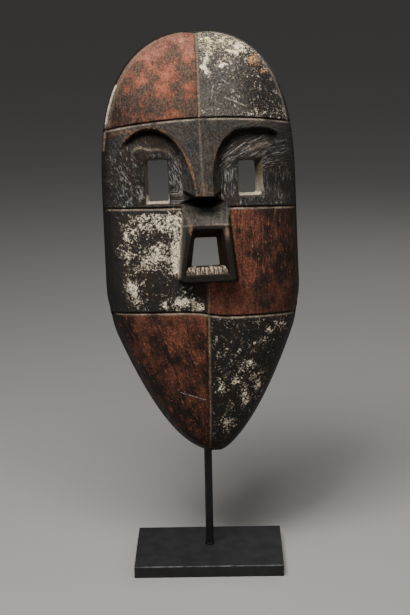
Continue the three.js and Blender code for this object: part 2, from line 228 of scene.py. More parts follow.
Socket = namedtuple("Socket", "sign middle brow inner outer inner_power outer_power scoop_power")
SOCKETS = (
    Socket(-1, 49.5, 325.4, 42.3, 41.0, 1.0, 1.0, 3.0),
    Socket(1, 49.0, 323.5, 40.4, 41.0, 0.85, 0.5, 1.6),
)
SOCKET_DOWN = 7.0
PLATE_Z = 280.0
FLANK_TOP_Z = 312.0
FLANK_WIDTH = 15.5
SCOOP_WIDTH = 18.0
SCOOP_ROOM = 9.0
SHARP_WALL = 1.5
SOFT_WALL = 6.0
SOFT_SCOOP = 13.0


def border_at(socket, angle):
    """Where a socket's border lies at an angle round it, counted from its outer side upwards."""
    across, along = np.cos(angle), np.sin(angle)
    lower = along < 0
    power = np.where(lower, 0.5, np.where(across > 0, socket.outer_power, socket.inner_power))
    wide = np.where(across > 0, socket.outer, socket.inner)
    from_middle = socket.middle + wide * np.sign(across) * np.abs(across) ** power
    rise = np.where(lower, -SOCKET_DOWN, socket.brow - NOSE_TIP_Z)
    z = NOSE_TIP_Z + rise * np.abs(along) ** power
    return socket.sign * from_middle + median_x(z), z


def socket_profile(socket, angle, z):
    """Width of the wall under the border, distance to the plate round the eye, and softness."""
    across, along = np.cos(angle), np.sin(angle)
    nose = clip01((FLANK_TOP_Z - z) / (FLANK_TOP_Z - NOSE_TIP_Z))
    soft = np.where(along < 0, 1.0, smooth(across, 0.35, 0.8))
    sharp_wall = np.where(across < 0, mix(SHARP_WALL, FLANK_WIDTH, nose), SHARP_WALL)
    wall = mix(sharp_wall, SOFT_WALL, soft)
    reach = np.abs(along) ** socket.scoop_power * (1 - 0.5 * np.maximum(across, 0))
    return wall, wall + mix(1 + SCOOP_WIDTH * reach, SOFT_SCOOP, soft), soft


def socket_inside(x, z, socket):
    """How far inside a socket's border each place is, along the line from its middle."""
    turn = np.linspace(0, 2 * math.pi, 720, endpoint=False)
    border_x, border_z = border_at(socket, turn)
    middle = socket.sign * socket.middle + median_x(PLATE_Z)
    border_angle = np.arctan2(border_z - PLATE_Z, border_x - middle)
    order = np.argsort(border_angle)
    angle = np.arctan2(z - PLATE_Z, x - middle)
    radius = np.hypot(border_x - middle, border_z - PLATE_Z)
    reach, wall, scoop, soft = (
        np.interp(angle, border_angle[order], values[order], period=2 * math.pi)
        for values in (radius, *socket_profile(socket, turn, border_z))
    )
    return reach - np.hypot(x - middle, z - PLATE_Z), wall, scoop, soft


def carve_socket(depth, x, z, socket):
    inside, wall, scoop, soft = socket_inside(x, z, socket)
    roomy = PLATE_DEPTH + (SOCKET_DEPTH - PLATE_DEPTH) * clip01((scoop - wall) / SCOOP_ROOM)
    drop = mix(roomy, SOFT_DROP, soft)
    rising = clip01((inside - wall) / (scoop - wall)) ** mix(1.7, 1.0, soft)
    floor = dome_depth(x, z) - mix(drop, PLATE_DEPTH, rising)
    carved = mix(depth, floor, clip01(inside / wall))
    return np.where(inside > 0, carved, depth)


# Mouth box: four-sided sections, each wider at the bottom

Section = namedtuple("Section", "low high low_x high_x low_half high_half")
MOUTH_ROOT = Section(175.7, 244.0, -1.1, -1.3, 29.8, 23.1)
MOUTH_FRONT = Section(176.4, 230.3, -2.4, -0.6, 27.1, 19.9)
MOUTH_LIP = Section(181.5, 226.7, -3.2, -1.4, 22.1, 14.8)
MOUTH_THROAT = Section(190.5, 218.4, -2.7, -2.0, 14.6, 11.2)
MOUTH_CORNER = 3.0
MOUTH_EDGE = 0.9


def mouth_side(section, z, sign):
    t = (z - section.low) / (section.high - section.low)
    return mix(section.low_x, section.high_x, t) + sign * mix(section.low_half, section.high_half, t)


def mouth_corners(section):
    """The section's corners in x and z: low left, low right, high right, high left."""
    ends = ((section.low, -1), (section.low, 1), (section.high, 1), (section.high, -1))
    return np.array([(mouth_side(section, z, sign), z) for z, sign in ends])


def mouth_bow(x):
    """The box's lower edge sags a little in the middle and rises towards its left end."""
    off = x + 3
    return np.where(off < 0, 1.3, 0.2) * (off / 27) ** 2 - 0.6


def soft_min(a, b):
    h = clip01(0.5 + 0.5 * (b - a) / MOUTH_EDGE)
    return mix(b, a, h) - MOUTH_EDGE * h * (1 - h)


def mouth_depth(x, z):
    """Depth of the mouth box as if it stood alone, falling away steeply outside it."""
    root = dome_depth(MOUTH_ROOT.low_x, (MOUTH_ROOT.low + MOUTH_ROOT.high) / 2) - 1.0
    rise = MOUTH_DEPTH - root
    straight = z - mouth_bow(x)
    above = np.clip(straight - MOUTH_FRONT.low, 0, MOUTH_CORNER)
    rounding = MOUTH_CORNER - np.sqrt(MOUTH_CORNER**2 - (MOUTH_CORNER - above) ** 2)
    made = np.full_like(x, MOUTH_DEPTH)
    for sign in (-1, 1):
        root_edge = mouth_side(MOUTH_ROOT, z, sign) - sign * rounding
        front_edge = mouth_side(MOUTH_FRONT, z, sign) - sign * rounding
        made = soft_min(made, root + rise * (root_edge - x) / (root_edge - front_edge))
    top = root + rise * (MOUTH_ROOT.high - z) / (MOUTH_ROOT.high - MOUTH_FRONT.high)
    bottom = root + rise * (straight - MOUTH_ROOT.low) / (MOUTH_FRONT.low - MOUTH_ROOT.low)
    return soft_min(soft_min(made, top), bottom)


# Nostril hollow, a lens under the tip of the nose

NOSTRIL_HALF = 23.5
NOSTRIL_TALL = 5.4
NOSTRIL_DEEP = 10.0
NOSTRIL_AXIS = 53.0


def nostril(x, z):
    """Which places lie in the lens, and how deep its surface is there."""
    across = (x - median_x(NOSE_TIP_Z) - 0.6) / NOSTRIL_HALF
    full = np.maximum(1 - across**2, 1e-3)
    up = (z - NOSE_TIP_Z + NOSTRIL_TALL) / (NOSTRIL_TALL * full)
    pit = NOSTRIL_AXIS - NOSTRIL_DEEP * full * np.sqrt(clip01(1 - up**2))
    return (np.abs(across) < 1) & (np.abs(up) < 1), pit


# The whole front

gouge_large = Lattice(21, 10.0, 26.0)
gouge_small = Lattice(22, 3.2, 8.0)


def front_depth(x, z):
    depth = dome_depth(x, z) + nose_lift(x, z)
    for socket in SOCKETS:
        depth = carve_socket(depth, x, z, socket)
    hollowed, pit = nostril(x, z)
    depth = np.where(hollowed, np.minimum(depth, pit), depth)
    depth = np.maximum(depth, mouth_depth(x, z))
    depth = depth + 0.28 * gouge_large(x, z) + 0.09 * gouge_small(x, z)
    return depth - cut_depth(x, z)


def marched(start, end, step_at):
    """Places from start to end whose spacing is given place by place, scaled to end exactly."""
    places = [start]
    while places[-1] < end:
        places.append(places[-1] + step_at(places[-1]))
    places = np.array(places)
    return start + (places - start) * (end - start) / (places[-1] - start)


def row_heights():
    """Heights of the grid's rows, closest together near lines and at both ends."""
    low = mix(MIDDLE_Z, END_TRIM, FRONT.along)
    high = mix(MIDDLE_Z, MASK_HEIGHT - END_TRIM, FRONT.along)
    lines = [cut(0.0) for cut in CROSS_CUTS]
    lines += [NOSE_TIP_Z, NOSE_TIP_Z - 2 * NOSTRIL_TALL]
    for section in (MOUTH_ROOT, MOUTH_FRONT, MOUTH_LIP):
        lines += [section.high, section.low]

    def step(z):
        near = min(abs(z - line) for line in lines)
        to_end = min(z - low, high - z)
        return min(1.25, 0.42 + 0.2 * near, 0.3 + 0.07 * to_end)

    return marched(low, high, step)


def column_fractions():
    span = HALF_WIDTH - EDGE_BEVEL

    def step(x):
        return min(1.45, 0.35 + 0.16 * x, 0.85 + 0.02 * max(0.0, x - 30), 0.25 + 0.09 * (span - x))

    return marched(0.0, span, step) / span


def bent_row(z, x):
    """Rows of points bend with the cut lines, so that each line runs along one row."""
    made = z
    for cut in CROSS_CUTS:
        made = made + (cut(x) - cut(0.0)) * hump(z - cut(0.0), 35)
    return made


def front_grid():
    """x and z of every point of the front: rows from chin to top, columns from left to right."""
    rows = row_heights()[:, None]
    parts = column_fractions()
    fractions = np.concatenate((-parts[:0:-1], parts))[None, :]
    z = rows + 0.0 * fractions
    for _ in range(3):
        height = rim_height(z, FRONT)
        half = half_width(height) * FRONT.across
        centre = middle_x(height)
        line = np.clip(median_x(z), centre - 0.9 * half, centre + 0.9 * half)
        reach = np.where(fractions < 0, line - (centre - half), centre + half - line)
        x = line + fractions * reach
        z = bent_row(rows, x)
    return x, z


def snap(x, z, line, reach):
    """Moves grid points that lie close to a feature's line onto that line."""
    near = (x > line[0].min() - 2) & (x < line[0].max() + 2)
    near &= (z > line[1].min() - 2) & (z < line[1].max() + 2)
    points = np.stack((x[near], z[near]))
    best = np.full(points.shape[1], reach)
    made = points.copy()
    for start, end in zip(line.T[:-1, :, None], line.T[1:, :, None]):
        run = end - start
        t = clip01(((points - start) * run).sum(axis=0) / max((run**2).sum(), 1e-12))
        on_line = start + t * run
        away = np.hypot(*(points - on_line))
        made = np.where(away < best, on_line, made)
        best = np.minimum(away, best)
    x[near], z[near] = made


def snap_to_features(x, z):
    """The sharp edges of brow and nose, and the sides and top of the mouth box."""
    arc = np.linspace(math.radians(35), math.radians(180), 120)
    for socket in SOCKETS:
        snap(x, z, np.stack(border_at(socket, arc)), reach=0.55)
    for section in (MOUTH_ROOT, MOUTH_FRONT):
        snap(x, z, mouth_corners(section)[[0, 3, 2, 1]].T, reach=0.4)


# Meshes

def loft(rings):
    """Points and faces of a closed surface through rings of equal count."""
    points = np.concatenate(rings)
    index = np.arange(len(points)).reshape(len(rings), -1)
    after = np.roll(index, -1, axis=1)
    sides = np.stack((index[:-1], after[:-1], after[1:], index[1:]), axis=-1).reshape(-1, 4)
    return points, [*sides.tolist(), index[0][::-1].tolist(), index[-1].tolist()]


def linked(name, data):
    """A new object in the scene that shows the given mesh, camera or light."""
    made = bpy.data.objects.new(name, data)
    bpy.context.collection.objects.link(made)
    return made


def mesh_object(name, points, faces, material):
    """An object in metres from points in the stand's frame."""
    mesh = bpy.data.meshes.new(name)
    mesh.from_pydata((np.array(points) * MM).tolist(), [], faces)
    mesh.materials.append(material)
    return linked(name, mesh)


def mask_object(name, rings, material):
    """A closed surface through rings given as x, depth and z on the mask, its faces outward."""
    made = mesh_object(name, *loft([on_stand(ring) for ring in rings]), material)
    bm = bmesh.new()
    bm.from_mesh(made.data)
    bmesh.ops.recalc_face_normals(bm, faces=bm.faces)
    bm.to_mesh(made.data)
    bm.free()
    return made


def combine(target, tool, operation):
    modifier = target.modifiers.new(operation.lower(), "BOOLEAN")
    modifier.operation = operation
    modifier.solver = "MANIFOLD"
    modifier.object = tool
    modifier.material_mode = "TRANSFER"
    with bpy.context.temp_override(object=target, active_object=target):
        bpy.ops.object.modifier_apply(modifier=modifier.name)
    bpy.data.objects.remove(tool, do_unlink=True)


def columns(*parts):
    return np.stack(parts, axis=-1)


def body_object(material):
    """The whole block with its carved front, as one ring for each row of the grid."""
    x, z = front_grid()
    snap_to_features(x, z)
    rings = []
    for row in columns(x, front_depth(x, z), z):
        walls = []
        for sign, edge in ((-1, row[0]), (1, row[-1])):
            height = rim_height(edge[2], FRONT)
            rim = np.array([middle_x(height) + sign * half_width(height), 0.0, height])
            notch = np.array([-0.5 * sign * float(cut_depth(edge[:1], edge[2:])[0]), 0.0, 0.0])
            walls.append([mix(rim, edge, t) + min(1, 3 * t) * notch for t in (0.0, 0.33, 0.66)])
        rings.append(np.array([*walls[0], *row, *walls[1][::-1]]))
    return mask_object("mask_carving", rings, material)


hollow_gouges = Lattice(31, 7.0, 11.0)


def hollow_depth(x, z):
    deepest = EDGE_DEPTH + ridge_depth(z) - WALL
    return np.maximum(deepest, 1.5) * dome_across(side_place(x, z, HOLLOW))


def hollow_object(material):
    """A cutter for the hollow: rows across it, close together near the chin and the top."""
    behind = -3.0
    rows, points = 150, 70
    t = np.linspace(0, 1, rows)
    t = t - 0.7 * np.sin(2 * math.pi * t) / (2 * math.pi)
    places = np.sin(math.pi / 2 * np.linspace(-1, 1, points))
    rings = []
    for height in END_TRIM + (MASK_HEIGHT - 2 * END_TRIM) * t:
        x = middle_x(height) + places * half_width(height) * HOLLOW.across
        z = mix(MIDDLE_Z, height, HOLLOW.along) + 0 * x
        rough = hollow_gouges(x, z) * 0.5 * (1 - places**2)
        wall = columns(x, np.maximum(hollow_depth(x, z) + rough, 0.0), z)
        rings.append(np.array([[x[0], behind, z[0]], *wall, [x[-1], behind, z[-1]]]))
    return mask_object("hollow", rings, material)


# Holes: each cutter narrows from the surface inwards and then runs straight through

HOLE_CORNER = 2.2
Window = namedtuple("Window", "left right low high")
EYES = (
    (Window(-58.7, -35.6, 252.3, 296.0), Window(-55.0, -35.8, 255.0, 294.8)),
    (Window(31.3, 57.2, 257.3, 294.0), Window(33.8, 50.3, 260.5, 291.8)),
)
EYE_TAPER = 11.0
EYE_THROUGH = 31.0
THROAT_BEHIND = 13.0
hole_wobble = Lattice(41, 6.0, 6.0)


def rounded_ring(corners, radius):
    """Points round a four-cornered outline, in x and z, with its corners rounded."""
    made = []
    for number, corner in enumerate(corners):
        before = corners[number - 1] - corner
        after = corners[(number + 1) % 4] - corner
        length = np.linalg.norm(after)
        start = corner + before / np.linalg.norm(before) * radius
        end = corner + after / length * radius
        for t in np.linspace(0, 1, 5):
            made.append(mix(mix(start, corner, t), mix(corner, end, t), t))
        for t in np.linspace(0, 1, 9)[1:-1]:
            made.append(corner + after / length * mix(radius, length - radius, t))
    return np.array(made)


def window_corners(window):
    left, right, low, high = window
    return np.array([(left, low), (right, low), (right, high), (left, high)])


def hole_ring(corners, surface, behind):
    """One ring of a hole's cutter, everywhere as far behind the given surface."""
    flat = rounded_ring(corners, HOLE_CORNER)
    depth = surface(flat[:, 0], flat[:, 1]) - behind
    shift = 0.22 * hole_wobble(flat[:, 0] * 1.3 - behind, flat[:, 1] * 1.3)
    away = flat - flat.mean(axis=0)
    flat = flat + away / np.linalg.norm(away, axis=1)[:, None] * shift[:, None]
    return columns(flat[:, 0], depth, flat[:, 1])


def hole_object(name, wide, narrow, surface, material, taper, through, outside):
    """A hole's cutter. It starts a share of its taper outside the surface and narrows inwards."""
    rings = [hole_ring(mix(wide, narrow, t), surface, taper * t) for t in np.linspace(-outside, 1, 9)]
    rings += [hole_ring(narrow, surface, behind) for behind in np.linspace(taper, through, 6)[1:]]
    return mask_object(name, rings, material)


def eye_object(windows, material):
    wide, narrow = map(window_corners, windows)

    def socket_floor(x, z):
        return dome_depth(x, z) - PLATE_DEPTH

    return hole_object("eye", wide, narrow, socket_floor, material, EYE_TAPER, EYE_THROUGH, outside=0.9)


def mouth_object(material):
    wide, narrow = mouth_corners(MOUTH_LIP), mouth_corners(MOUTH_THROAT)

    def flat_front(x, z):
        return MOUTH_DEPTH + 0.0 * x

    return hole_object("mouth", wide, narrow, flat_front, material, THROAT_BEHIND, MOUTH_DEPTH, outside=0.12)


TEETH = 9
TEETH_OUTER = 2 * MOUTH_LIP.low_half - 3
TEETH_INNER = 2 * MOUTH_THROAT.low_half
TEETH_ARCH = 11.0


def tooth_object(number, material):
    """One tooth: a rounded block with an uneven top, standing on the slope inside the lip."""
    rng = np.random.default_rng(500 + number)
    taller = rng.uniform(-0.5, 0.7)
    lower = rng.uniform(-0.4, 0.4)
    rings = []
    for edge in np.linspace(0.05, 0.95, 9):
        share = (number + edge) / TEETH - 0.5
        bulge = math.sqrt(max(0.0, 1 - (2 * edge - 1) ** 4))
        outer = MOUTH_LIP.low_x + share * TEETH_OUTER
        inner = MOUTH_THROAT.low_x + share * TEETH_INNER
        foot = MOUTH_LIP.low + lower + TEETH_ARCH * share**2
        crown = MOUTH_THROAT.low - 1.6 + 1.4 * bulge + taller
        outline = (
            (0.0, 2.2, foot - 3.5),
            (0.0, 2.6 - 0.7 * bulge, foot + 0.6),
            (0.12, 3.0 - 0.9 * bulge, mix(foot, crown, 0.5)),
            (0.3, 4.6 - 0.6 * bulge, crown - 0.6),
            (0.45, 6.5, crown),
            (1.0, 12.0, crown - 0.2),
            (1.0, 13.0, MOUTH_THROAT.low - 3.0),
        )
        rings.append(np.array([(mix(outer, inner, t), MOUTH_DEPTH - behind, z) for t, behind, z in outline]))
    return mask_object("tooth", rings, material)


# Paint: what lies where on the mask, as values at its points that the materials read

# Worn and rubbed places in the red of the forehead, and where the red is thickest, each as the
# middle x and z and the half sizes of an ellipse
RED_WORN = (
    (-28, 397, 10, 7), (-16, 377, 9, 10), (-50, 366, 5, 10), (-25, 363, 8, 8), (-66, 350, 7, 11),
    (-46, 346, 9, 7), (-82, 354, 8, 17), (-8, 345, 6, 9), (-24, 350, 6, 6), (-60, 383, 5, 7),
)
RED_THICK = (
    (-31, 380, 6, 8), (-41, 364, 7, 7), (-14, 368, 4, 4), (-58, 373, 6, 6), (-18, 410, 12, 6),
    (-70, 340, 9, 4), (-35, 339, 9, 4), (-10, 396, 5, 7), (-45, 396, 8, 8),
)
# White on the forehead, the cheek, the chin and round the eyes
WHITE_BROW = ((17, 411, 19, 9), (5, 384, 8, 15), (40, 402, 22, 9), (21, 387, 8, 4), (52, 392, 14, 8))
WHITE_CHEEK = (
    (-50, 233, 33, 10), (-32, 205, 7, 27), (-54, 204, 17, 16), (-80, 206, 8, 9), (-63, 190, 16, 7),
    (-70, 229, 14, 12),
)
WHITE_CHEEK_LOW = (
    (-77, 172, 8, 12), (-27, 157, 9, 10), (-11, 151, 6, 6), (-72, 156, 6, 7), (-40, 153, 4, 5),
)
WHITE_CHIN = (
    (8, 105, 3, 4), (8, 90, 4, 4), (48, 112, 5, 5), (37, 92, 8, 4), (42, 79, 4, 4), (24, 73, 4, 4),
    (44, 66, 5, 6), (8, 69, 5, 5), (13, 29, 6, 7), (59, 125, 5, 4), (72, 129, 5, 7), (34, 57, 6, 5),
    (3, 119, 2, 5), (22, 52, 5, 4), (28, 105, 3, 3),
)
WHITE_SOCKET = (
    (-80, 282, 9, 9), (-76, 266, 8, 8), (-82, 250, 8, 7), (-27, 278, 6, 18), (-22, 262, 6, 10),
    (22, 280, 6, 12), (40, 305, 16, 8), (70, 306, 14, 7), (66, 296, 8, 7), (30, 296, 8, 5), (-64, 262, 4, 9),
)
BOX_CORNERS = ((-17.8, 226.5, 2.6, 6.5), (17.0, 223, 2.8, 8.5))
ORANGE_BROW = ((56, 391, 8, 9), (66, 381, 6, 5))
NOSE_RUBBED = ((float(median_x(262.0)), 264, 9, 14),)
RED_DARK_CHEEK = ((41, 198, 6, 5), (46, 172, 6, 8), (30, 222, 4, 9), (72, 185, 8, 14), (60, 150, 6, 5))

INSIDE_BORDER = 0.4
BARE_RIM = 2.0
tone_large = Lattice(61, 22.0, 26.0)
tone_medium = Lattice(62, 8.0, 11.0)
tone_small = Lattice(63, 3.4, 4.4)


class Coat:
    """The values of the paint at every point, from 0 to 1, and the zones and tones they follow.
    level is how bright the red is, film is dust on black, wear is wood that shows, grime
    is dirt together with painted shade, and lines are pale lines, partly kaolin and worn wood and
    partly painted highlight."""

    def __init__(self, x, depth, z):
        self.x, self.depth, self.z = x, depth, z
        self.side = side_place(x, z, FRONT)
        self.edge = np.abs(self.side)
        self.medium, self.small = tone_medium(x, z), tone_small(x, z)
        self.mottled = 0.1 * tone_large(x, z) + 0.16 * self.medium
        self.left = x < median_x(z)
        self.forehead = z > forehead_cut(x)
        self.chin = z < jaw_cut(x)
        self.cheeks = (z < cheek_cut(x)) & ~self.chin
        self.band = ~self.forehead & ~self.cheeks & ~self.chin
        self.in_socket = np.zeros(len(x), bool)
        for name in ("red", "white", "level", "film", "wear", "grime", "lines", "grain"):
            setattr(self, name, np.zeros_like(x))

    def spots(self, spots, softness, ragged=True):
        """1 inside any of the ellipses, fading to 0 outside."""
        x, z = self.x, self.z
        if ragged:
            x = x + 3.5 * tone_medium(self.x + 200, z) + 2.0 * tone_small(self.x + 200, z)
            z = z + 3.5 * tone_medium(self.x, z + 90) + 2.0 * tone_small(self.x, z + 90)
        made = np.zeros_like(x)
        for middle, height, wide, tall in spots:
            away = np.hypot((x - middle) / wide, (z - height) / tall)
            made = np.maximum(made, np.exp(-(away**softness)))
        return made

    def put(self, here, **values):
        """Sets values at the points that here names."""
        for name, value in values.items():
            setattr(self, name, np.where(here, value, getattr(self, name)))

    def lift(self, **values):
        """Raises values everywhere to at least the given ones."""
        for name, value in values.items():
            setattr(self, name, np.maximum(getattr(self, name), value))

    def fade(self, share, *names):
        """Takes the given share away."""
        for name in names:
            setattr(self, name, getattr(self, name) * (1 - share))


def paint_forehead(coat):
    """Worn red on the left and specks of white on black on the right."""
    x, z = coat.x, coat.z
    # Lighter towards the crown (rise, and the crown term of level on the right): partly dust, partly painted
    # light from above
    rise = smooth(z, 335, 420)
    low_left = smooth(-x - 0.9 * (z - 340), 25, 95)
    worn, thick = coat.spots(RED_WORN, 2.5), coat.spots(RED_THICK, 2.5)
    coat.put(
        coat.forehead & coat.left,
        red=0.6 + 0.16 * rise - 0.5 * worn + 0.28 * thick - 0.04 * low_left + 0.1 * coat.medium,
        level=0.48 + 0.12 * rise + 0.28 * thick - 0.2 * worn - 0.26 * low_left,
        film=0.53 + 0.28 * rise - 0.44 * low_left,
        grain=0.3 + 0.4 * low_left,
    )
    rightwards = smooth(x, 22, 60)
    speckled = 0.355 + 0.045 * rightwards + 0.17 * smooth(z, 372, 405) + 0.05 * (z < 341)
    orange = coat.spots(ORANGE_BROW, 4.0)
    coat.put(
        coat.forehead & ~coat.left,
        red=0.62 * orange,
        white=np.maximum.reduce([speckled, 0.66 * coat.spots(WHITE_BROW, 2.5), 0.6 * orange]),
        level=0.5 - 0.32 * rightwards + 0.35 * smooth(z, 375, 405),
        film=0.36 - 0.32 * rightwards - 0.06 * rise * (1 - rightwards),
        grain=0.34,
    )
    coat.lift(wear=0.5 * orange)


def paint_cheeks(coat):
    """White on the left and dark grained red on the right."""
    x, z = coat.x, coat.z
    sparse = 0.345 + 0.28 * coat.spots(WHITE_CHEEK_LOW, 2.0)
    dense = 0.365 + 0.21 * coat.spots(WHITE_CHEEK, 2.5) + 0.1 * smooth(x, -48, -28)
    towards_rim = 0.7 + 0.3 * smooth(coat.side, -0.95, -0.8)
    white = mix(sparse, dense, smooth(z, 178, 186)) * towards_rim
    coat.put(coat.cheeks & coat.left, white=white, film=0.05)
    inner = 1 - smooth(x, 30, 66)
    low = 1 - smooth(z, 165, 200)
    dark = coat.spots(RED_DARK_CHEEK, 2.0)
    coat.put(
        coat.cheeks & ~coat.left,
        red=0.52 + 0.22 * inner + 0.12 * low - 0.34 * dark + coat.mottled,
        level=0.185 + 0.19 * inner - 0.03 * low - 0.08 * dark + 0.6 * coat.mottled,
        film=0.06,
        grain=0.74 - 0.18 * low,
    )


def paint_chin(coat):
    """Dark grained red on the left and a few specks of white on the right."""
    x, z = coat.x, coat.z
    outer = smooth(-coat.side, 0.45, 1.0)
    upper = smooth(z, 85, 140) * smooth(x, -70, -30)
    tip = 1 - smooth(z, 20, 70)
    coat.put(
        coat.chin & coat.left,
        red=0.62 + 0.12 * upper - 0.12 * outer + 1.15 * coat.mottled,
        level=0.22 + 0.09 * upper - 0.07 * outer - 0.08 * tip + 0.8 * coat.mottled,
        film=0.025,
        grain=0.72 - 0.12 * upper,
    )
    specks = 0.385 + 0.19 * coat.spots(WHITE_CHIN, 2.0) - 0.04 * smooth(coat.side, 0.75, 0.95)
    coat.put(coat.chin & ~coat.left, white=specks, film=0.03)


def paint_band(coat):
    """Dusty black round the eyes and on the nose, with frost in the sockets and rubbed edges,
    painted shade in the troughs under the brows, a painted highlight along the edge of each eye's
    plate, and darkening all round towards the rim and at the bottom of the chin."""
    x, z, medium, band = coat.x, coat.z, coat.medium, coat.band
    outer = np.maximum(smooth(-x, 34, 40), smooth(x, 56, 70))
    frost = 0.385 + 0.15 * coat.spots(WHITE_SOCKET, 2.0) - 0.03 * outer - 0.14 * smooth(z, 294, 325)
    coat.put(band, film=0.245 + 0.05 * medium - 0.08 * smooth(coat.edge, 0.72, 0.9))
    coat.put(band & (np.abs(x - median_x(z)) > 18), white=frost)
    tone = 0.03 * tone_large(x, z) + 0.06 * medium + 0.03 * coat.small
    coat.put(coat.white > 0, white=coat.white + tone)

    dusted = 0.25 + 0.1 * coat.small + 0.08 * medium - 0.12 * smooth(-x, 30, 44) - 0.08 * smooth(x, 56, 70)
    outer_end = np.maximum(smooth(x, 38, 66), smooth(-x, 56, 76))
    for socket, strength in zip(SOCKETS, (0.54, 0.26)):
        inside, _, scoop, soft = socket_inside(x, z, socket)
        sharp, within = 1 - soft, inside > INSIDE_BORDER
        coat.in_socket |= within
        # Painted shade in the trough under the sharp brow, fading towards the socket's outer end
        trough_shade = hump(inside - 5, 8) * smooth(z, 288, 316) * within
        # Painted highlight along the raised edge of the plate round the eye
        plate_edge_highlight = hump(inside - scoop, 1.1) * sharp * smooth(z, 280, 292)
        coat.lift(
            wear=strength * hump(inside, 1.4) * sharp * (1 + 0.9 * medium) * (1 + 0.5 * (z < 300)),
            grime=0.62 * trough_shade * (1 - 0.8 * soft) * (1 - 0.9 * outer_end),
            lines=0.34 * plate_edge_highlight * (1 + 1.5 * medium),
        )
        coat.put(band & within, film=dusted)
    below_cut = hump(z - forehead_cut(x) + 6, 4) * smooth(-x, 30, 50)
    coat.lift(wear=np.maximum(0.41 * coat.spots(NOSE_RUBBED, 2.0, False), 0.48 * below_cut) * band)
    near_rim = mix(0.22 * smooth(coat.edge, 0.78, 0.97), 0.7, smooth(coat.edge, 0.94, 1.0))
    coat.lift(grime=np.maximum(near_rim * (z < 330), 0.5 * (1 - smooth(z, 12, 32))))


def paint_cuts(coat):
    """The cut lines, with painted shade in them and pale lower edges that are partly kaolin and
    partly painted highlight, the worn line up the middle, and the pale rim, partly painted highlight.
    """
    x, z, medium = coat.x, coat.z, coat.medium
    for cut in CROSS_CUTS:
        off = z - cut(x)
        reach = np.where(np.abs(x + 2) > 23, 1.0, 0.0) if cut is cheek_cut else 1.0
        lip = smooth(-off, 0.6, 1.3) * (1 - smooth(-off, 2.0, 3.0)) * reach
        bright = 0.8 if cut is jaw_cut else 0.68
        # A pale lower edge along each cut, partly kaolin and partly painted highlight, and painted shade in
        # the cut
        coat.fade(lip, "grime", "red", "white")
        coat.lift(lines=lip * (bright + 0.6 * medium), grime=0.92 * hump(off - 0.35, 0.95) * reach)
    off = x - median_x(z)
    open_line = (z > forehead_cut(0.0)) | (z < MOUTH_FRONT.low - 2.5)
    groove = hump(off, MEDIAN_HALF) * open_line
    coat.fade(groove, "white")
    coat.fade(0.8 * groove, "red")
    coat.lift(
        wear=(0.62 + 0.1 * coat.small) * groove,
        lines=(0.42 + 0.2 * medium) * hump(off - 0.9, 1.0) * open_line,
    )
    coat.lift(lines=0.34 * hump(off, 0.9) * (coat.band & ~open_line))
    # Pale line along the rim above the brow, brighter on the right: partly kaolin and partly painted
    # highlight
    coat.lift(lines=(0.42 + 0.3 * (x > 0)) * hump(coat.edge - 0.99, 0.02) * (z > 328))


def on_mouth_box(x, z):
    """The box itself and the strip above it, up to the cheek cut's height."""
    tall = (z > MOUTH_ROOT.low - 1.5) & (z < MOUTH_ROOT.high + 0.5)
    wide = (x > mouth_side(MOUTH_ROOT, z, -1) + 0.2) & (x < mouth_side(MOUTH_ROOT, z, 1) - 0.2)
    above = (np.abs(x + 1.2) < MOUTH_CUT_GAP) & (z < cheek_cut(x) + 2) & (z > MOUTH_ROOT.high - 1)
    return (tall & wide) | above


def paint_mouth_box(coat):
    """A black box with a dusty sloping top, pale lines along its edges that are partly painted
    highlight, and rubbed corners. Its left face is painted lighter, partly dust and partly painted
    light from the left; the rest is darkened with grime and painted shade, with a painted shadow
    under the nose and painted shade filling the nostril lens.
    """
    x, z, medium = coat.x, coat.z, coat.medium
    here = on_mouth_box(x, z)
    slope = smooth(z, MOUTH_FRONT.high - 0.5, MOUTH_FRONT.high + 1.5)
    for sign, low, high in ((-1, 20.3, 24.0), (1, 19.5, 22.5)):
        end = sign * mix(low, high, smooth(z, 230, 244)) + 0.6 * coat.small
        slope = slope * smooth(sign * (end - x), -0.5, 1.0)
    left_end = mouth_side(MOUTH_FRONT, z, -1) + 0.5
    # Left side face painted lighter: partly dust and partly painted light from the left
    lit_dusty_left_face = smooth(left_end - x, 0, 1.2) * (z > 177) * (1 - slope)
    # Painted shadow that the nose casts on the sloping top
    shadow_under_nose = hump(z - 246, 8) * hump(x + 2.5, 16, 4)
    rubbed = coat.spots(BOX_CORNERS, 2.0, False)
    # Pale line along the box's front top edge, partly painted highlight
    lip = hump(z - MOUTH_FRONT.high, 0.9)
    coat.fade(here, "red", "white", "grain")
    coat.put(
        here,
        film=0.32 * slope + 0.13 * lit_dusty_left_face + 0.01,
        wear=0.82 * rubbed,
        grime=mix(0.83 * (1 - lit_dusty_left_face), 0.78 * shadow_under_nose, slope) * (1 - rubbed),
        lines=np.maximum(0.85 * lip * (1 + 0.6 * medium), 0.2 * rubbed),
    )
    tall = smooth(z, 177, 181) * (1 - smooth(z, 238, 243))
    left_seam = hump(x - mouth_side(MOUTH_ROOT, z, -1), 1.2) * tall
    right_seam = hump(x - mouth_side(MOUTH_ROOT, z, 1) - 1.2, 1.4) * tall
    pale_lip = (0.5 + 0.1 * medium) * lip * (here & (np.abs(x + 0.6) < 19.5))
    coat.lift(
        lines=0.9 * left_seam,
        white=np.maximum((0.46 + 0.1 * medium) * left_seam, pale_lip),
        wear=(0.7 + 0.2 * medium) * right_seam,
    )
    coat.fade(0.8 * np.maximum(left_seam, right_seam), "grime")
    # Painted shade filling the nostril lens
    coat.put(nostril(x, z)[0], grime=1.0, lines=0.0)


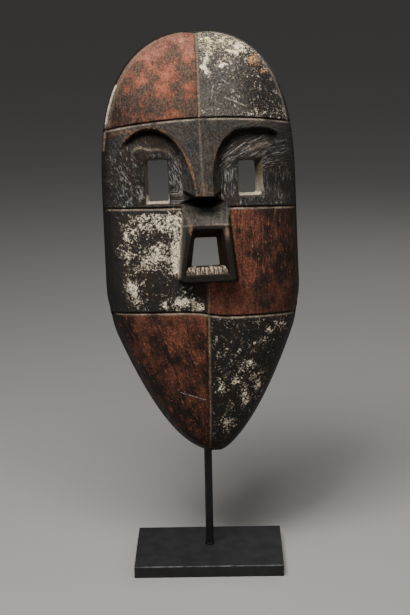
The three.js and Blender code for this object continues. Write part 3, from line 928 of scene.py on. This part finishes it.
def paint_sides(coat):
    """Paint that runs over the crown's edge, pale strips beside the brow, pale edge lines on both
    that are partly painted highlight, and a bare rim.
    """
    x, depth, z = coat.x, coat.depth, coat.z
    on_side = (depth < EDGE_DEPTH - 0.4) & (coat.edge > 0.97)
    crown = on_side & (z > 371) & (depth > 3.5 + 0.8 * coat.small)
    left_strip = (x < 0) & (z > 306) & (z < 371) & (depth > 2.5)
    right_strip = (x > 0) & (z > 330) & (depth > EDGE_DEPTH - 2.2)
    strip = on_side & (left_strip | right_strip)
    strip_tone = smooth(z, 325, 335)
    bare = depth < BARE_RIM
    coat.fade(np.where(bare, 1.0, 0.7 * (on_side & ~crown)), "red", "white", "film")
    # Pale lines on the strips and along the crown's edge: partly kaolin and partly painted highlight from
    # above
    edge_line_and_highlight = np.where(strip, mix(0.5, 0.8, strip_tone), 0.35 * crown)
    coat.put(on_side, lines=edge_line_and_highlight, grime=0.5 * ~(strip | crown))
    coat.put(strip, white=0.75 * strip_tone)
    coat.put(bare, wear=0.34 + 0.1 * coat.medium)
    coat.put((np.abs(x - median_x(z)) < 1.7) & (z > 418.5), grime=1.0, wear=0.0)


def mark_teeth(coat):
    """Painted shade in the gaps between the teeth and at their feet."""
    x, depth, z = coat.x, coat.depth, coat.z
    slope = ((-12, -6.5, -4.6, -3.0, -2.6), (1.0, 0.45, 0.3, 0.12, 0.0))
    inwards = np.interp(depth - MOUTH_DEPTH, *slope)
    middle = mix(MOUTH_LIP.low_x, MOUTH_THROAT.low_x, inwards)
    place = ((x - middle) / mix(TEETH_OUTER, TEETH_INNER, inwards) + 0.5) * TEETH
    # Painted shade in the gaps between the teeth and, below, at their feet
    gap_shade = np.abs(2 * (place % 1.0) - 1) ** 3
    foot = 1 - smooth(z - TEETH_ARCH * (x / (2 * MOUTH_LIP.low_half)) ** 2, 182.0, 185.5)
    here = (z > MOUTH_LIP.low - 1) & (z < MOUTH_THROAT.low + 4)
    here &= (depth > MOUTH_DEPTH - 16) & (depth < MOUTH_DEPTH - 1.2)
    here &= np.abs(x - MOUTH_LIP.low_x) < MOUTH_LIP.low_half + 2
    coat.put(here, grain=np.maximum(gap_shade, foot))


def paint_values(x, depth, z):
    """The paint's values by threes, under the names by which the materials read them. In the
    mouth grain stands for painted shade in the gaps between teeth, and in a socket for the way in behind the
    front."""
    coat = Coat(x, depth, z)
    for step in (
        paint_forehead, paint_cheeks, paint_chin, paint_band, paint_cuts, paint_mouth_box, paint_sides,
    ):
        step(coat)
    mark_teeth(coat)
    behind_front = smooth(front_depth(x, z) - depth, 1.0, 8.0)
    coat.put(coat.band & coat.in_socket, grain=behind_front)
    frosted = np.where(coat.in_socket, 1.0, 0.35) * (coat.band & ~on_mouth_box(x, z))
    return {
        "paint": (coat.red, coat.white, coat.level),
        "surface": (coat.film, coat.wear, coat.grime),
        "marks": (coat.lines, coat.grain, frosted),
    }


def stroke_values(x, z):
    """Coordinates that run across and along the carver's strokes, in strokes."""
    coat = Coat(x, 0.0 * x, z)

    def leaning(lean, wide, long):
        return (x + lean * z) / wide, (z - lean * x) / long

    run = x - 18
    fan = z - 0.75 * run + 0.00525 * run**2
    right_socket = coat.band & (x > 14)
    zones = (
        (coat.forehead & coat.left, x / 1.6, z / 7.0),
        (coat.band & coat.left & (x > -36), socket_inside(x, z, SOCKETS[0])[0] / 0.9, z / 6.0),
        (coat.band & coat.left, *leaning(0.35, 1.5, 4.2)),
        (right_socket & (z > 284 + 2 * coat.small), fan, x / 9.0),
        (right_socket, x / 1.2, z / 8.0),
        (coat.band, x / 1.3, z / 6.0),
        (coat.cheeks & ~coat.left, x / 1.5, z / 10.0),
        (coat.chin, *leaning(0.45, 3.0, 11.0)),
    )
    here, across, along = zip(*zones)
    elsewhere = leaning(0.25, 1.7, 5.0)
    return columns(np.select(here, across, elsewhere[0]), np.select(here, along, elsewhere[1]), 0.0 * x)


def add_values(mesh, name, values):
    """Stores three values for every point, which the materials read."""
    layer = mesh.attributes.new(name, "FLOAT_VECTOR", "POINT")
    layer.data.foreach_set("vector", values.astype(np.float32).ravel())


def add_paint_values(mesh):
    """Stores every point's place on the mask, its strokes and its paint for the materials."""
    points = np.empty(len(mesh.vertices) * 3, np.float32)
    mesh.vertices.foreach_get("co", points)
    x, depth, z = on_mask(points.reshape(-1, 3) / MM).T
    add_values(mesh, "place", columns(x, z, depth))
    add_values(mesh, "strokes", stroke_values(x, z))
    for name, values in paint_values(x, depth, z).items():
        add_values(mesh, name, clip01(columns(*values)))


# Node materials

def sign(operation, swapped=False):
    """What a sign such as + does with a value and another value or plain number."""
    def made(value, other):
        return maths(operation, other, value) if swapped else maths(operation, value, other)
    return made


class Value:
    """A number, place or colour that a material works out place by place."""

    __add__ = __radd__ = sign("ADD")
    __mul__ = __rmul__ = sign("MULTIPLY")
    __sub__, __rsub__ = sign("SUBTRACT"), sign("SUBTRACT", swapped=True)
    __truediv__, __pow__ = sign("DIVIDE"), sign("POWER")

    def __init__(self, socket):
        self.socket = socket

    def clamped(self):
        """The same sum, kept between 0 and 1."""
        self.socket.node.use_clamp = True
        return self

    def ramp(self, low, high):
        """0 below low and 1 above high, smooth between."""
        inputs = {"Value": self, "From Min": low, "From Max": high}
        return add_node("ShaderNodeMapRange", inputs, "Result", interpolation_type="SMOOTHSTEP")

    def split(self):
        """The three numbers of a place or of three stored values."""
        first = add_node("ShaderNodeSeparateXYZ", {0: self})
        return [Value(part) for part in first.socket.node.outputs]


def feed(node, inputs):
    for key, value in inputs.items():
        if isinstance(value, Value):
            node.id_data.links.new(value.socket, node.inputs[key])
        else:
            node.inputs[key].default_value = value


def add_node(kind, inputs, output=0, tree=None, **settings):
    """A new node in the same tree as its inputs, and one of its outputs as a value."""
    for value in inputs.values():
        if isinstance(value, Value):
            tree = value.socket.id_data
    node = tree.nodes.new(kind)
    for key, value in settings.items():
        setattr(node, key, value)
    feed(node, inputs)
    return Value(node.outputs[output])


def maths(operation, a, b):
    return add_node("ShaderNodeMath", {0: a, 1: b}, operation=operation)


def vector(operation, *terms, output=0):
    return add_node("ShaderNodeVectorMath", dict(enumerate(terms)), output, operation=operation)


def scaled(place, factor):
    return add_node("ShaderNodeVectorMath", {0: place, "Scale": factor}, operation="SCALE")


def noise(place, scale, detail, roughness, shift=0.0, distortion=0.0):
    """Noise round 0.5. The scale is in cells per unit, one number or one for each axis."""
    scales = scale if isinstance(scale, tuple) else (scale, scale, scale)
    moved = vector("MULTIPLY_ADD", place, scales, (shift, 1.7 * shift, 0.6 * shift))
    inputs = {"Vector": moved, "Scale": 1, "Detail": detail, "Roughness": roughness}
    return add_node("ShaderNodeTexNoise", inputs | {"Distortion": distortion}, "Fac")


def blend(a, b, share):
    """Colour a with a share of colour b laid over it."""
    a, b = (colour if isinstance(colour, Value) else (*colour, 1) for colour in (a, b))
    return add_node("ShaderNodeMix", {0: share, 6: a, 7: b}, 2, data_type="RGBA")


def coverage(pattern, density, soft):
    """Where a pigment still lies: more of the pattern passes the more dense it is."""
    limit = 0.74 - 0.42 * density
    return pattern.ramp(limit - soft, limit + soft)


def scratches(flat, strokes):
    """1 along any of the straight strokes from and to places on the face, in its x and z."""
    made = 0.0
    for start, end, width in strokes:
        run = (end[0] - start[0], end[1] - start[1], 0.0)
        from_start = vector("SUBTRACT", flat, (*start, 0.0))
        along = vector("DOT_PRODUCT", from_start, run, output="Value")
        share = (along / (run[0] ** 2 + run[1] ** 2)).clamped()
        off = vector("SUBTRACT", from_start, scaled(run, share))
        away = vector("LENGTH", off, output="Value")
        made = maths("MAXIMUM", made, 1.0 - away.ramp(0.3 * width, width))
    return made


def start(name):
    material = bpy.data.materials.new(name)
    material.use_nodes = True
    return material


def read(material, name="place"):
    """Values stored at the mesh's points."""
    return add_node("ShaderNodeAttribute", {}, "Vector", material.node_tree, attribute_name=name)


def object_place(material):
    return add_node("ShaderNodeTexCoord", {}, "Object", material.node_tree)


def finish(material, colour, roughness, height=None, distance=0.0004, specular=0.5):
    inputs = {"Base Color": colour, "Roughness": roughness, "Specular IOR Level": specular}
    if height is not None:
        bump = {"Strength": 0.8, "Distance": distance, "Height": height}
        inputs["Normal"] = add_node("ShaderNodeBump", bump, "Normal")
    feed(material.node_tree.nodes["Principled BSDF"], inputs)
    return material


# Colours, as linear red, green and blue
BLACK_COOL = (0.006, 0.0062, 0.0058)
BLACK_WARM = (0.0135, 0.007, 0.0038)
FILM = (0.236, 0.21, 0.178)
FILM_BROWN = (0.185, 0.11, 0.072)
RED_LOW = (0.03, 0.0125, 0.0065)
RED_HIGH = (0.54, 0.172, 0.096)
RED_DUSTY = (0.53, 0.215, 0.14)
WOOD_DARK = (0.075, 0.037, 0.018)
WOOD_BARE = (0.22, 0.11, 0.052)
WOOD_BLACKENED = (0.035, 0.022, 0.013)
WHITE_OLD = (0.3, 0.22, 0.14)
WHITE_CREAM = (0.98, 0.85, 0.63)
WHITE_WARM = (1.0, 0.79, 0.45)
WHITE_STAINED = (0.66, 0.35, 0.16)
FROST = (0.86, 0.84, 0.8)
DUST = (0.5, 0.46, 0.4)
# Pale lines of kaolin and worn wood, also used for painted highlight
PALE_LINE_AND_HIGHLIGHT = (0.35, 0.275, 0.2)
SCRATCHED = (0.52, 0.46, 0.39)
# Dark of dirt and cracks, also used for painted shade
DARK_GRIME_AND_SHADE = (0.01, 0.0065, 0.0045)
EYE_WALL_DARK = (0.02, 0.012, 0.007)
EYE_WALL_LIGHT = (0.1, 0.068, 0.04)
SILL_DARK = (0.13, 0.095, 0.06)
SILL_PALE = (0.66, 0.56, 0.42)
TOOTH_WHITE = (0.45, 0.34, 0.225)
MOUTH_BLACK = (0.006, 0.004, 0.003)
MOUTH_BROWN = (0.026, 0.015, 0.008)
INSIDE_DARK = (0.055, 0.034, 0.022)
INSIDE_LIGHT = (0.17, 0.108, 0.068)
INSIDE_STAIN = (0.038, 0.025, 0.018)
INSIDE_CHIP = (0.2, 0.135, 0.088)
STEEL_BARE = (0.5, 0.5, 0.5)
FLOOR_DARK = (0.37, 0.354, 0.333)
FLOOR_PALE = (0.39, 0.374, 0.353)
SKY = (0.565, 0.56, 0.56)

# Longer scratches and cracks, from and to places on the face, and how wide
SCRATCHES = (
    ((22, 353), (43, 344), 1.0), ((71, 360), (80, 354), 1.0), ((17, 294), (40, 309), 0.6),
    ((44, 309), (60, 315), 0.5), ((24, 292), (45, 303), 0.5), ((15, 272), (14.5, 256), 0.7),
    ((18.5, 270), (18, 260), 0.7), ((72, 309), (84, 311), 0.5), ((70, 298), (83, 299), 0.5),
    ((-31.7, 66), (-6.5, 57), 0.7), ((20, 371), (27, 366), 0.6), ((8, 352), (12, 366), 0.6),
)
CRACKS = (
    ((-47, 123), (-41, 103), 0.9), ((-41, 103), (-32, 73), 1.0), ((-61, 118), (-52, 92), 0.8),
    ((-24, 139), (-21, 112), 0.7), ((-15, 48), (-12, 20), 0.8),
)


def paint_material():
    """The painted front, in layers: black, film, red, bare wood, white, pale lines with painted
    highlights, and dirt with painted shade.
    """
    made = start("mask_paint")
    place, strokes = read(made), read(made, "strokes")
    red, white, level = read(made, "paint").split()
    film, wear, grime = read(made, "surface").split()
    lines, grain, band = read(made, "marks").split()
    fine = noise(place, 0.9, 5.0, 0.7)
    grit = noise(place, 0.5, 7.0, 0.85, 41.0)
    medium = noise(place, 0.24, 5.0, 0.65, 3.0)
    even = mix(fine, medium, 0.5)
    stroke = noise(strokes, 1.0, 5.0, 0.65, 11.0)

    broad = noise(place, 0.06, 3.0, 0.5, 7.0)
    dusty = mix(grit, stroke, 0.45 + 0.3 * band).ramp(0.34, 0.68) ** (1.0 + 1.5 * band)
    film_share = film * (1.25 * dusty + 0.15)
    film_colour = blend(FILM, FILM_BROWN, red.ramp(0.02, 0.14))

    patches = noise(place, 0.085, 5.0, 0.62, 51.0, 0.25)
    streaky = noise(strokes, 0.45, 5.0, 0.62, 61.0)
    patch = mix(mix(patches, mix(medium, stroke, 0.45), 0.45), streaky, 0.62 * grain)
    red_here = coverage(patch, red, 0.085)
    gritty = 0.6 - 0.55 * level
    lively = 1.05 * mix(patch, grit, gritty).ramp(0.36, 0.66) + 0.1
    near_crown = place.split()[1].ramp(365.0, 415.0)
    red_high = blend(RED_HIGH, RED_DUSTY, near_crown)
    red_colour = blend(RED_LOW, red_high, (level * lively).clamped())

    streak = grain * stroke.ramp(0.48, 0.64)
    pits = mix(noise(place, 0.55, 4.0, 0.7, 29.0), noise(strokes, 1.2, 4.0, 0.7, 29.0), 0.62)
    uneven = gritty + 0.4 * grain
    glinting = 1.2 * (grain - 0.35).clamped() * (1.0 - pits.ramp(0.38, 0.46))

    wood_here = coverage(even, 1.1 * wear, 0.09)
    wood_colour = blend(WOOD_DARK, WOOD_BARE, even.ramp(0.4, 0.62))

    flecks = noise(place, 0.42, 8.0, 0.75, 17.0, 0.8)
    flecks = mix(flecks, noise(place, 0.17, 6.0, 0.72, 71.0, 0.6), 0.28)
    white_here = coverage(mix(flecks, stroke, 0.7 * band), white, mix(0.016, 0.045, band))
    white_share = white_here * mix(0.97, 0.17, band)
    white_colour = blend(WHITE_OLD, WHITE_CREAM, (grit + 0.45 * white).ramp(0.48, 0.8))
    white_colour = blend(white_colour, WHITE_WARM, level.ramp(0.5, 0.85))
    white_colour = blend(white_colour, WHITE_STAINED, red.ramp(0.15, 0.45))
    white_colour = blend(white_colour, FROST, band)
    dust_here = coverage(noise(place, 0.75, 3.0, 0.6, 93.0), white - 0.06, 0.05)

    wander = add_node("ShaderNodeTexNoise", {"Vector": place, "Scale": 0.06}, "Color")
    wander = vector("SUBTRACT", wander, (0.5, 0.5, 0.5))
    on_face = vector("MULTIPLY", place, (1, 1, 0))
    flat = vector("MULTIPLY_ADD", wander, (5.0, 5.0, 0.0), on_face)
    scratched = scratches(flat, SCRATCHES)

    colour = blend(BLACK_COOL, BLACK_WARM, broad.ramp(0.4, 0.6))
    for layer, share in (
        (film_colour, film_share),
        (red_colour, 0.9 * red_here),
        (BLACK_WARM, 0.8 * streak),
        (BLACK_WARM, pits.ramp(0.54, 0.6) * uneven),
        (RED_HIGH, glinting),
        (wood_colour, wood_here),
        (DUST, dust_here * (0.05 + 0.38 * level) * (1.0 - band)),
        (white_colour, white_share),
        # Pale lines: kaolin and worn wood, and painted highlight on edges that face the light
        (PALE_LINE_AND_HIGHLIGHT, lines * even.ramp(0.3, 0.6)),
        (SCRATCHED, 0.65 * scratched * grit.ramp(0.36, 0.62)),
        (DARK_GRIME_AND_SHADE, 0.75 * scratches(flat, CRACKS)),
        # Dirt, and painted shade in the brow troughs, the cuts, under the nose and in the nostril lens
        (DARK_GRIME_AND_SHADE, 0.97 * grime),
    ):
        colour = blend(colour, layer, share)

    speckle = (1.9 * uneven * grit.ramp(0.34, 0.66) + 0.65) / (0.9 * uneven + 0.6)
    finest = noise(place, 1.1, 3.0, 0.8, 83.0).ramp(0.3, 0.7)
    colour = scaled(colour, speckle * mix(1.0 - 0.75 * uneven, 1.35, finest))
    roughness = mix(0.3 + 0.4 * fine, 0.85, white_share)
    height = 0.6 * white_share + 0.9 * grit + stroke * (0.9 + 1.1 * band) - 0.6 * scratched
    return finish(made, colour, roughness, height, 0.0016, 0.2)


def eye_wall_material():
    """Cut wood in the eye holes: dark walls, painted lighter low down and towards the right as painted
    light, and a sill that is pale and rubbed towards the back.
    """
    made = start("mask_eye_walls")
    place = read(made)
    across, up, _ = place.split()
    _, inward, _ = read(made, "marks").split()
    grain = noise(place, (0.9, 0.08, 0.9), 5.0, 0.65)
    fine = noise(place, 0.6, 6.0, 0.75, 5.0)
    tone = mix(grain, fine, 0.5).ramp(0.36, 0.64)
    # Painted light: the walls are paler low down and to the right, where light from the left and above falls
    lit_low_right = (1.0 - up.ramp(262.0, 284.0)) * across.ramp(-48.0, 30.0)
    rubbed = (inward + 1.2 * (fine - 0.5)).ramp(0.44, 0.72)
    pale = blend(SILL_DARK, SILL_PALE, tone)
    wall = blend(EYE_WALL_DARK, EYE_WALL_LIGHT, tone)
    wall = blend(wall, pale, 0.36 * lit_low_right)
    sill = blend(WOOD_BLACKENED, pale, rubbed)
    return finish(made, blend(wall, sill, 1.0 - up.ramp(259.0, 263.0)), 0.7, grain + 0.6 * fine)


def tooth_material():
    """Whitened wood with brown blotches, and painted shade in the gaps and at the feet."""
    made = start("mask_teeth")
    blotch = noise(read(made), (0.62, 0.3, 0.4), 6.0, 0.72, 5.0)
    _, gap_shade, _ = read(made, "marks").split()
    tone = (blotch.ramp(0.4, 0.6) - 0.7 * gap_shade).clamped()
    return finish(made, blend(WOOD_BLACKENED, TOOTH_WHITE, tone), 0.75, blotch, 0.0006)


def mouth_wall_material():
    """Near-black wood in the mouth with its grain running up the mask; the near-black is partly painted
    shade inside the mouth.
    """
    made = start("mask_mouth_walls")
    grain = noise(read(made), (0.7, 0.06, 0.7), 5.0, 0.6)
    fine = noise(read(made), 0.8, 5.0, 0.65, 5.0)
    tone = mix(grain, fine, 0.5).ramp(0.35, 0.65)
    colour = blend(MOUTH_BLACK, MOUTH_BROWN, tone)
    return finish(made, colour, 0.6, grain + 0.6 * fine, specular=0.1)


def hollow_material():
    """Old dark wood behind, with the facets that an adze leaves and darker stains."""
    made = start("mask_inside")
    place = read(made)
    grain = noise(place, (0.55, 0.05, 0.3), 6.0, 0.65)
    fine = noise(place, 0.7, 6.0, 0.75, 5.0)
    stain = noise(place, 0.02, 5.0, 0.6, 9.0)
    chips = {"Vector": vector("MULTIPLY", place, (0.1, 0.045, 0.03)), "Scale": 1.0, "Smoothness": 0.25}
    facet = add_node("ShaderNodeTexVoronoi", chips, "Distance", feature="SMOOTH_F1")
    colour = blend(INSIDE_DARK, INSIDE_LIGHT, mix(grain, fine, 0.45).ramp(0.35, 0.65))
    colour = blend(colour, INSIDE_STAIN, 0.7 * stain.ramp(0.35, 0.7))
    colour = blend(colour, INSIDE_CHIP, 0.12 * facet.ramp(0.35, 0.6))
    return finish(made, colour, 0.78, 2.2 * facet + 0.5 * grain, 0.0008)


def steel_material(name, tone, worn_and_highlit_edge=0.0):
    """Satin black paint over steel, painted bright along a handled edge, partly rubbed steel and
    partly painted highlight.
    """
    made = start(name)
    place = object_place(made)
    fine = noise(place, 900.0, 4.0, 0.6)
    broad = noise(place, 60.0, 3.0, 0.5, 4.0)
    colour = blend((0.6 * tone,) * 3, (tone,) * 3, broad.ramp(0.35, 0.65))
    if worn_and_highlit_edge > 0:
        rubbed, _, _ = read(made, "rubbed").split()
        bright = rubbed * noise(place, 90.0, 5.0, 0.7, 8.0).ramp(0.3, 0.72)
        colour = blend(colour, STEEL_BARE, worn_and_highlit_edge * bright)
    return finish(made, colour, 0.4 + 0.2 * fine, fine, 0.00005, 0.35)


def build_mask():
    made = body_object(paint_material())
    combine(made, hollow_object(hollow_material()), "DIFFERENCE")
    eye_walls = eye_wall_material()
    for windows in EYES:
        combine(made, eye_object(windows, eye_walls), "DIFFERENCE")
    combine(made, mouth_object(mouth_wall_material()), "DIFFERENCE")
    teeth = tooth_material()
    for number in range(TEETH):
        combine(made, tooth_object(number, teeth), "UNION")
    add_paint_values(made.data)
    made.data.shade_smooth()
    return made


# The stand

BASE_WIDTH, BASE_DEPTH, BASE_THICKNESS = 150.0, 100.0, 12.0
BASE_BEVEL = 0.6
BASE_CORNER = 0.8
POST_X = 0.6
POST_BEND_RADIUS = 10.0
POST_TIP_Z = 150.0
POST_INSET = 0.02
WELD_BEAD = (1.1, 0.8, 0.3, 0.0)


def base_object():
    """A flat plate with finely rounded edges, and values for its front top edge, painted bright as
    partly rubbed steel and partly painted highlight.
    """
    lower = [(1 - math.sin(t), 1 - math.cos(t)) for t in np.linspace(0, math.pi / 2, 5)]
    levels = [(inset * BASE_BEVEL, rise * BASE_BEVEL) for inset, rise in lower]
    levels.append((0.0, BASE_THICKNESS - BASE_BEVEL - BASE_CORNER))
    levels += [(inset, BASE_THICKNESS - rise) for inset, rise in levels[-2::-1]]
    levels += [(BASE_BEVEL + 1.0, BASE_THICKNESS), (BASE_BEVEL + 3.0, BASE_THICKNESS)]
    rings = []
    for inset, z in levels:
        half_x, half_y = BASE_WIDTH / 2 - inset, BASE_DEPTH / 2 - inset
        flat = rounded_ring(window_corners((-half_x, half_x, -half_y, half_y)), BASE_CORNER)
        rings.append(np.column_stack((flat, np.full(len(flat), z))))
    made = mesh_object("base_plate", *loft(rings), steel_material("base_paint", tone=0.018, worn_and_highlit_edge=0.45))
    _, y, z = np.concatenate(rings).T
    on_front = y + BASE_DEPTH / 2 < BASE_BEVEL + 0.1
    on_edge = hump(z - BASE_THICKNESS + 0.3, 0.35) * on_front
    add_values(made.data, "rubbed", columns(on_edge, on_edge, on_edge))
    return made


def post_line():
    """The post's middle line: up behind the chin, then forward to just short of the hollow's wall."""
    corner = np.array([POST_X, POST_Y, CHIN[2] + POST_TIP_Z * math.cos(LEAN_BACK)])
    x, _, z = on_mask(corner)
    tip = on_stand(np.array([x, float(hollow_depth(x, z)) - 3 * GAP, z]))
    foot = np.array([POST_X, POST_Y, BASE_THICKNESS + 0.05])
    bend_start = corner - np.array([0, 0, POST_BEND_RADIUS])
    bend_end = mix(corner, tip, POST_BEND_RADIUS / np.linalg.norm(corner - tip))
    line = [mix(foot, bend_start, t) for t in (0, 0.003, 0.007, 0.012, 0.25, 0.5, 0.75)]
    for t in np.linspace(0, 1, 14):
        line.append(mix(mix(bend_start, corner, t), mix(corner, bend_end, t), t))
    return np.array(line + [mix(bend_end, tip, 0.5), tip])


def post_object():
    """A round bar along the post's line, with a low weld bead round its foot."""
    line = post_line()
    along = np.gradient(line, axis=0)
    along /= np.linalg.norm(along, axis=1)[:, None]
    turns = np.linspace(0, 2 * math.pi, 40, endpoint=False)[:, None]
    rings = []
    for number, (point, way) in enumerate(zip(line, along)):
        radius = POST_RADIUS - POST_INSET + WELD_BEAD[min(number, len(WELD_BEAD) - 1)]
        across = np.array([1.0, 0.0, 0.0]) - way[0] * way
        across /= np.linalg.norm(across)
        rings.append(point + radius * (np.cos(turns) * across + np.sin(turns) * np.cross(way, across)))
    return mesh_object("post_bar", *loft(rings), steel_material("post_paint", tone=0.006))


mask = build_mask()
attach(mask, "root")
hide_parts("mask")
for piece, node in ((post_object(), "post"), (base_object(), "base")):
    piece.data.shade_smooth()
    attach(piece, "root")
    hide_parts(node)

# Camera, at the photograph's viewing angle

LONG_SIDE = 36.0
FOCAL_PIXELS = 1443.0
PHOTO_HEIGHT = 615.0
CAMERA_PLACE = (0.02, -1.383, 0.625)
CAMERA_ROUND = math.radians(0.8)
CAMERA_DOWN = math.radians(14.53)
CAMERA_ROLL = math.radians(-1.2)


def add_camera():
    data = bpy.data.cameras.new("camera")
    data.sensor_width = LONG_SIDE
    data.sensor_fit = "AUTO"
    data.lens = LONG_SIDE * FOCAL_PIXELS / PHOTO_HEIGHT
    data.clip_start = 0.05
    camera = linked("camera", data)
    turn = Matrix.Rotation(CAMERA_ROUND, 4, "Z") @ Matrix.Rotation(math.pi / 2 - CAMERA_DOWN, 4, "X")
    camera.matrix_world = Matrix.Translation(CAMERA_PLACE) @ turn @ Matrix.Rotation(CAMERA_ROLL, 4, "Z")
    bpy.context.scene.camera = camera


# Floor and light

FLOOR_SIDE = 120000.0
SKY_STRENGTH = 0.17


def floor_material():
    made = start("floor")
    soft = noise(object_place(made), 8.0, 3.0, 0.5)
    return finish(made, blend(FLOOR_DARK, FLOOR_PALE, soft), 0.85)


def add_floor():
    half = FLOOR_SIDE / 2
    corners = [(*corner, 0) for corner in window_corners((-half, half, -half, half))]
    floor = mesh_object("floor", corners, [(0, 1, 2, 3)], floor_material())


def add_area_light(name, place, aim, side, power):
    data = bpy.data.lights.new(name, "AREA")
    data.size = side
    data.energy = power
    light = linked(name, data)
    light.location = place
    light.rotation_euler = (Vector(aim) - Vector(place)).to_track_quat("-Z", "Y").to_euler()


def add_world():
    world = bpy.data.worlds.new("world")
    world.use_nodes = True
    sky = world.node_tree.nodes["Background"]
    sky.inputs["Color"].default_value = (*SKY, 1)
    sky.inputs["Strength"].default_value = SKY_STRENGTH
    bpy.context.scene.world = world


add_camera()
add_floor()
add_world()
add_area_light("key", (-0.34, -0.56, 1.36), aim=(0, 0, 0.4), side=0.5, power=17.5)
add_area_light("top", (0.06, -0.4, 1.08), aim=(0, -0.03, 0.45), side=0.3, power=4.2)
add_area_light("fill", (1.1, -1.0, 0.9), aim=(0, 0, 0.33), side=0.8, power=3)
add_area_light("back", (0.7, 1.3, 1.2), aim=(0, 0, 0.33), side=0.9, power=4)
